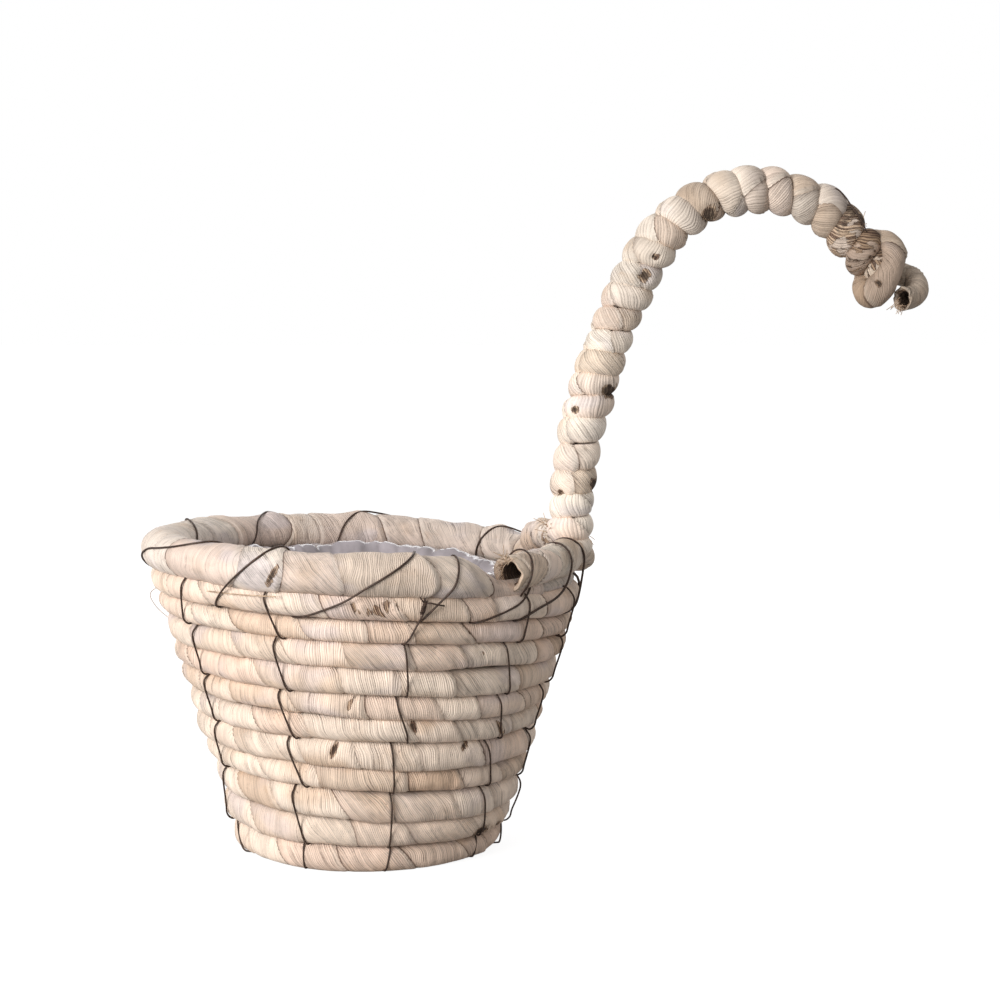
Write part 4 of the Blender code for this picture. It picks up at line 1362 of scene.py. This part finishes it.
def build_wire_ends():
    """The twist that joins two wires below the rim, and the wire loop on the hook."""
    sizes = bpy.context.scene.planter_sizes
    row = row_grid(ROW_COUNT)
    turn = np.linspace(0, 1, 40)
    angle = np.radians(17.6 - 1.2 * turn)
    level = 0.15 - 0.007 * turn
    base = around(angle, np.hypot(*on_row(row, math.radians(17), 0.1, 0.0013)[:2]) + 0.0002, level)
    lines = []
    for strand in (0.0, 0.5):
        way = TURN * (3.5 * turn + strand)
        coil = 0.0007 * np.stack([np.cos(way), np.sin(way) * -1.0, 0 * way], axis=-1)
        lines.append(list((base + coil)[::2]))
    knot = base[8]
    lines.append([knot, knot + (0.003, -0.0006, 0.0004), knot + (0.0065, -0.0003, -0.0002),
                  knot + (0.0098, 0.0012, -0.0006)])
    lines.append([knot, knot + (-0.0012, -0.0012, 0.0014), knot + (-0.0026, -0.0014, 0.0034)])
    lines.append([(0.2475, -0.006, 0.349), (0.249, -0.006, 0.353), (0.2516, -0.006, 0.354),
                  (0.2558, -0.007, 0.35), (0.2594, -0.0085, 0.3444), (0.2643, -0.01, 0.337),
                  (0.2672, -0.01, 0.331)])
    wire_bundle("wire_ends", lines, sizes.wire_radius * 0.85, wire_finish(), "binding_wire")


def build_threads():
    """Frayed threads: three loose ones, and tufts drawn at random about a spot and a lean."""
    draw = np.random.default_rng(77)
    threads = [
        [
            (-0.109, -0.012, 0.14), (-0.1165, -0.012, 0.1345), (-0.1135, -0.011, 0.127),
            (-0.106, -0.01, 0.12),
        ],
        [(0.115, 0.0, 0.179), (0.1195, -0.002, 0.1765), (0.1215, -0.003, 0.1738), (0.1228, -0.003, 0.1722)],
        [(0.1155, 0.0, 0.178), (0.1205, -0.004, 0.177), (0.1235, -0.0045, 0.1752)],
    ]
    for spot, count, size, lean in (
        ((0.2838, -0.015, 0.2925), 16, 0.0032, (-0.4, -0.3, -0.9)),
        ((0.099, -0.006, 0.179), 12, 0.006, (-0.2, -0.4, 0.6)),
        ((0.0748, -0.085, 0.17), 22, 0.0044, (-0.7, -0.4, 0.1)),
        ((0.2648, -0.007, 0.3335), 8, 0.004, (0.2, -0.3, 0.7)),
    ):
        for _ in range(count):
            start = np.array(spot) + draw.normal(0, 0.0016, 3)
            way = np.array(lean) + draw.normal(0, 0.5, 3)
            bend = draw.normal(0, 0.4, 3)
            shares = np.linspace(0, 1, 4)[:, None] * size * draw.uniform(0.5, 1.2)
            threads.append(list(start + shares * way + shares**2 / size * bend))
    wire_bundle("threads", threads, 0.00018, thread_finish(), "handle_husk")


def build_string():
    """The string that lies under the rim."""
    outlines = partial(outline_at, rim_grid()), partial(outline_at, row_grid(ROW_COUNT))
    anchors = (0.15, -44), (0.158, -34), (0.165, -24), (0.17, -15)
    mesh = wire_mesh("string", wrap_wire(anchors, outlines, 0.0006, 31, 25), 0.00028, 6)
    return place("string", mesh, thread_finish(), "husk_rope")


# Liner


# How far the film's edge reaches out under the rim, past its brim
BRIM_REACH = 0.0085


def build_liner():
    """The film: a loose cup turned about the axis, with folds that deepen towards its slack brim.

    Its profile runs out over the floor, up the wall, bellies inwards near the top and runs out under the
    rim, where it is caught.
    """
    low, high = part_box("liner")
    floor, wall_top = low[2] + 0.0005, TOP_HOOP[1]
    brim = high[0] - 0.004
    corner = brim - (wall_top - floor) * WALL_SLOPE
    line = [
        (0.0006, floor), (corner * 0.6, floor), (corner - 0.006, floor + 0.0004),
        (corner - 0.001, floor + 0.004), (corner + 0.03 * WALL_SLOPE, floor + 0.03),
        (corner + 0.07 * WALL_SLOPE - 0.001, floor + 0.07), (brim - 0.019, RIM_SEAT - 0.029),
        (brim - 0.0215, RIM_SEAT - 0.012), (brim - 0.0195, RIM_SEAT - 0.002),
        (brim - 0.015, RIM_SEAT + 0.003), (brim - 0.01, RIM_SEAT + 0.003),
        (brim - 0.003, RIM_SEAT + 0.0018), (brim + 0.0045, RIM_SEAT - 0.0002),
        (brim + BRIM_REACH, RIM_SEAT - 0.001),
    ]
    path, _ = smooth_path([(0.0, *point) for point in line], 140)
    columns = 420
    u, v = np.meshgrid(np.linspace(0, 1, len(path)), np.arange(columns) / columns, indexing="ij")
    angle = TURN * v
    free = ease((u - 0.42) / 0.25)
    edge = ease((0.995 - u) / 0.1)
    crease = np.abs(waves(v + 0.06 * u, u, (29, 5), 11)) * 0.0042
    crease = crease + np.abs(waves(v - 0.05 * u, u, (67, 9), 12)) * 0.002
    crease = crease + 0.0008 * waves(v, u, (150, 16), 14)
    level = ease((path[:, 2] - RIM_SEAT + 0.012) / 0.012)[:, None] * free
    radius = path[:, 1][:, None] - crease * (0.2 + 0.8 * free) * (1 - 0.7 * level) * ease(u * 4)
    height = path[:, 2][:, None] + (crease - 0.0016) * level * edge
    height = height + 0.0018 * waves(v, 0 * v, (11, 1), 13) * level * edge
    thin = 1 - rim_half_height(angle)[1]
    height = height - 0.007 * thin * ease((radius - brim + 0.018) / 0.006)
    grid = around(angle, np.minimum(radius, brim + BRIM_REACH), np.maximum(height, floor))
    rows = len(path)
    first = np.arange(columns)
    fan = np.stack([np.full(columns, rows * columns), (first + 1) % columns, first], axis=-1)
    points = np.concatenate([grid.reshape(-1, 3), [[0, 0, floor]]])
    mesh = fill_mesh("liner_film", points, [quads_of(rows, columns, False), fan])
    piece = place("liner_film", mesh, film_finish(), "liner_film", "liner")
    wall = piece.modifiers.new("Film", "SOLIDIFY")
    wall.thickness = bpy.context.scene.planter_sizes.film_gauge
    wall.offset = 1
    return piece


# Rod and its tie


def dress_rod():
    """Gives the rod and its tie their looks. Both are CAD pieces and keep their shape."""
    for node, finish in (("handle_rod", steel_finish()), ("rod_tie", wire_finish())):
        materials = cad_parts[node].data.materials
        materials.clear()
        materials.append(finish)


# Stage


FLOOR_REACH = 12.0
FLOOR_GREY = (0.24, 0.24, 0.24, 1.0)

# Glow of the floor: what the camera sees, and what lights the basket from below
FLOOR_SHOWN, FLOOR_GLOW = 0.88, 0.1

# The spot that the lamps point at, and each lamp's place and width
LAMP_AIM = Vector((0.09, 0.0, 0.16))
KEY_PLACE, KEY_WIDTH = Vector((-0.95, -1.08, 0.5)), 0.7
BACK_PLACE, BACK_WIDTH = Vector((0.2, 1.3, 0.9)), 1.0


def seen_by_camera(tree, shown, other):
    """A strength that is one number for the camera and another for the light itself."""
    return Value(add_node(tree, "ShaderNodeLightPath").outputs["Is Camera Ray"]) * (shown - other) + other


def stage_piece(name, data, where=(0, 0, 0)):
    made = bpy.data.objects.new(name, data)
    made.location = where
    bpy.context.scene.collection.objects.link(made)
    return made


def build_stage():
    """Floor, world, two soft lamps and the camera."""
    stage = bpy.context.scene.planter_stage
    scene = bpy.context.scene
    scene.view_settings.view_transform = "Standard"
    corners = FLOOR_REACH * np.array([[-1, -1, 0], [1, -1, 0], [1, 1, 0], [-1, 1, 0]])
    mesh = fill_mesh("floor", corners, [np.array([[0, 1, 2, 3]])])
    floor = stage_piece("floor", mesh)
    made, shader = material_of("Studio Floor", 0.9)
    shader.inputs["Base Color"].default_value = FLOOR_GREY
    shader.inputs["Specular IOR Level"].default_value = 0.0
    shader.inputs["Emission Color"].default_value = (1, 1, 1, 1)
    feed(shader.inputs["Emission Strength"], seen_by_camera(made.node_tree, FLOOR_SHOWN, FLOOR_GLOW))
    mesh.materials.append(made)
    scene.world = bpy.data.worlds.new("Studio")
    scene.world.use_nodes = True
    tree = scene.world.node_tree
    sky = tree.nodes["Background"]
    sky.inputs["Color"].default_value = (1, 1, 1, 1)
    feed(sky.inputs["Strength"], seen_by_camera(tree, 1.0, stage.sky_strength))
    for name, where, power, width in (
        ("key_lamp", KEY_PLACE, stage.key_power, KEY_WIDTH),
        ("back_lamp", BACK_PLACE, stage.back_power, BACK_WIDTH),
    ):
        lamp = bpy.data.lights.new(name, "AREA")
        lamp.energy = power
        lamp.size = width
        aimed = (LAMP_AIM - where).to_track_quat("-Z", "Y").to_euler()
        stage_piece(name, lamp, where).rotation_euler = aimed
    lens = bpy.data.cameras.new("photo_camera")
    lens.lens = stage.camera_lens
    lens.sensor_width = 36.0
    scene.camera = stage_piece("photo_camera", lens, stage.camera_place)
    scene.camera.rotation_euler = (math.pi / 2 - stage.camera_pitch, 0, 0)


# Operators


class PlanterStep:
    """Shared by the operators: each runs its own steps."""

    def execute(self, context):
        for step in self.steps:
            step()
        return {"FINISHED"}


class PLANTER_OT_stage(PlanterStep, bpy.types.Operator):
    """Set up the floor, the lights and the camera."""

    bl_idname = "planter.stage"
    bl_label = "Stage"
    steps = (build_stage,)


class PLANTER_OT_rows(PlanterStep, bpy.types.Operator):
    """Wrap the hoops of the wall in husk."""

    bl_idname = "planter.rows"
    bl_label = "Wall rows"
    steps = (build_rows,)


class PLANTER_OT_rim(PlanterStep, bpy.types.Operator):
    """Roll the rim."""

    bl_idname = "planter.rim"
    bl_label = "Rim"
    steps = (build_rim,)


class PLANTER_OT_base(PlanterStep, bpy.types.Operator):
    """Coil the base."""

    bl_idname = "planter.base"
    bl_label = "Base"
    steps = (build_base,)


class PLANTER_OT_handle(PlanterStep, bpy.types.Operator):
    """Hitch the handle's rope, tie its knot and lay its tail."""

    bl_idname = "planter.handle"
    bl_label = "Handle"
    steps = (build_winding, build_knot, build_tail, dress_rod)


class PLANTER_OT_wires(PlanterStep, bpy.types.Operator):
    """Bind the rows, the rim and the tail with wire."""

    bl_idname = "planter.wires"
    bl_label = "Binding wires"
    steps = (build_stitches, build_rim_wires, build_wire_ends, build_threads, build_string)


class PLANTER_OT_liner(PlanterStep, bpy.types.Operator):
    """Line the basket with film."""

    bl_idname = "planter.liner"
    bl_label = "Film liner"
    steps = (build_liner,)


OPERATORS = (
    PLANTER_OT_stage, PLANTER_OT_rows, PLANTER_OT_rim, PLANTER_OT_base, PLANTER_OT_handle, PLANTER_OT_wires,
    PLANTER_OT_liner,
)
GROUPS = {"planter_sizes": PlanterSizes, "planter_colours": PlanterColours, "planter_stage": PlanterStage}


class PLANTER_PT_panel(bpy.types.Panel):
    """Lists the sizes, the colours and the pieces."""

    bl_idname = "PLANTER_PT_panel"
    bl_label = "Planter"
    bl_space_type = "VIEW_3D"
    bl_region_type = "UI"
    bl_category = "Planter"

    def draw(self, context):
        for title in GROUPS:
            group = getattr(context.scene, title)
            for prop in group.bl_rna.properties:
                if prop.identifier not in ("rna_type", "name"):
                    self.layout.prop(group, prop.identifier)
        for operator in OPERATORS:
            self.layout.operator(operator.bl_idname)


def register():
    for made in (*GROUPS.values(), *OPERATORS, PLANTER_PT_panel):
        bpy.utils.register_class(made)
    for title, made in GROUPS.items():
        setattr(bpy.types.Scene, title, bpy.props.PointerProperty(type=made))


def unregister():
    for title in GROUPS:
        delattr(bpy.types.Scene, title)
    for made in reversed((*GROUPS.values(), *OPERATORS, PLANTER_PT_panel)):
        bpy.utils.unregister_class(made)


def main():
    register()
    bpy.ops.planter.stage()
    bpy.ops.planter.rows()
    bpy.ops.planter.rim()
    bpy.ops.planter.base()
    bpy.ops.planter.handle()
    bpy.ops.planter.wires()
    bpy.ops.planter.liner()


if __name__ == "__main__":
    main()
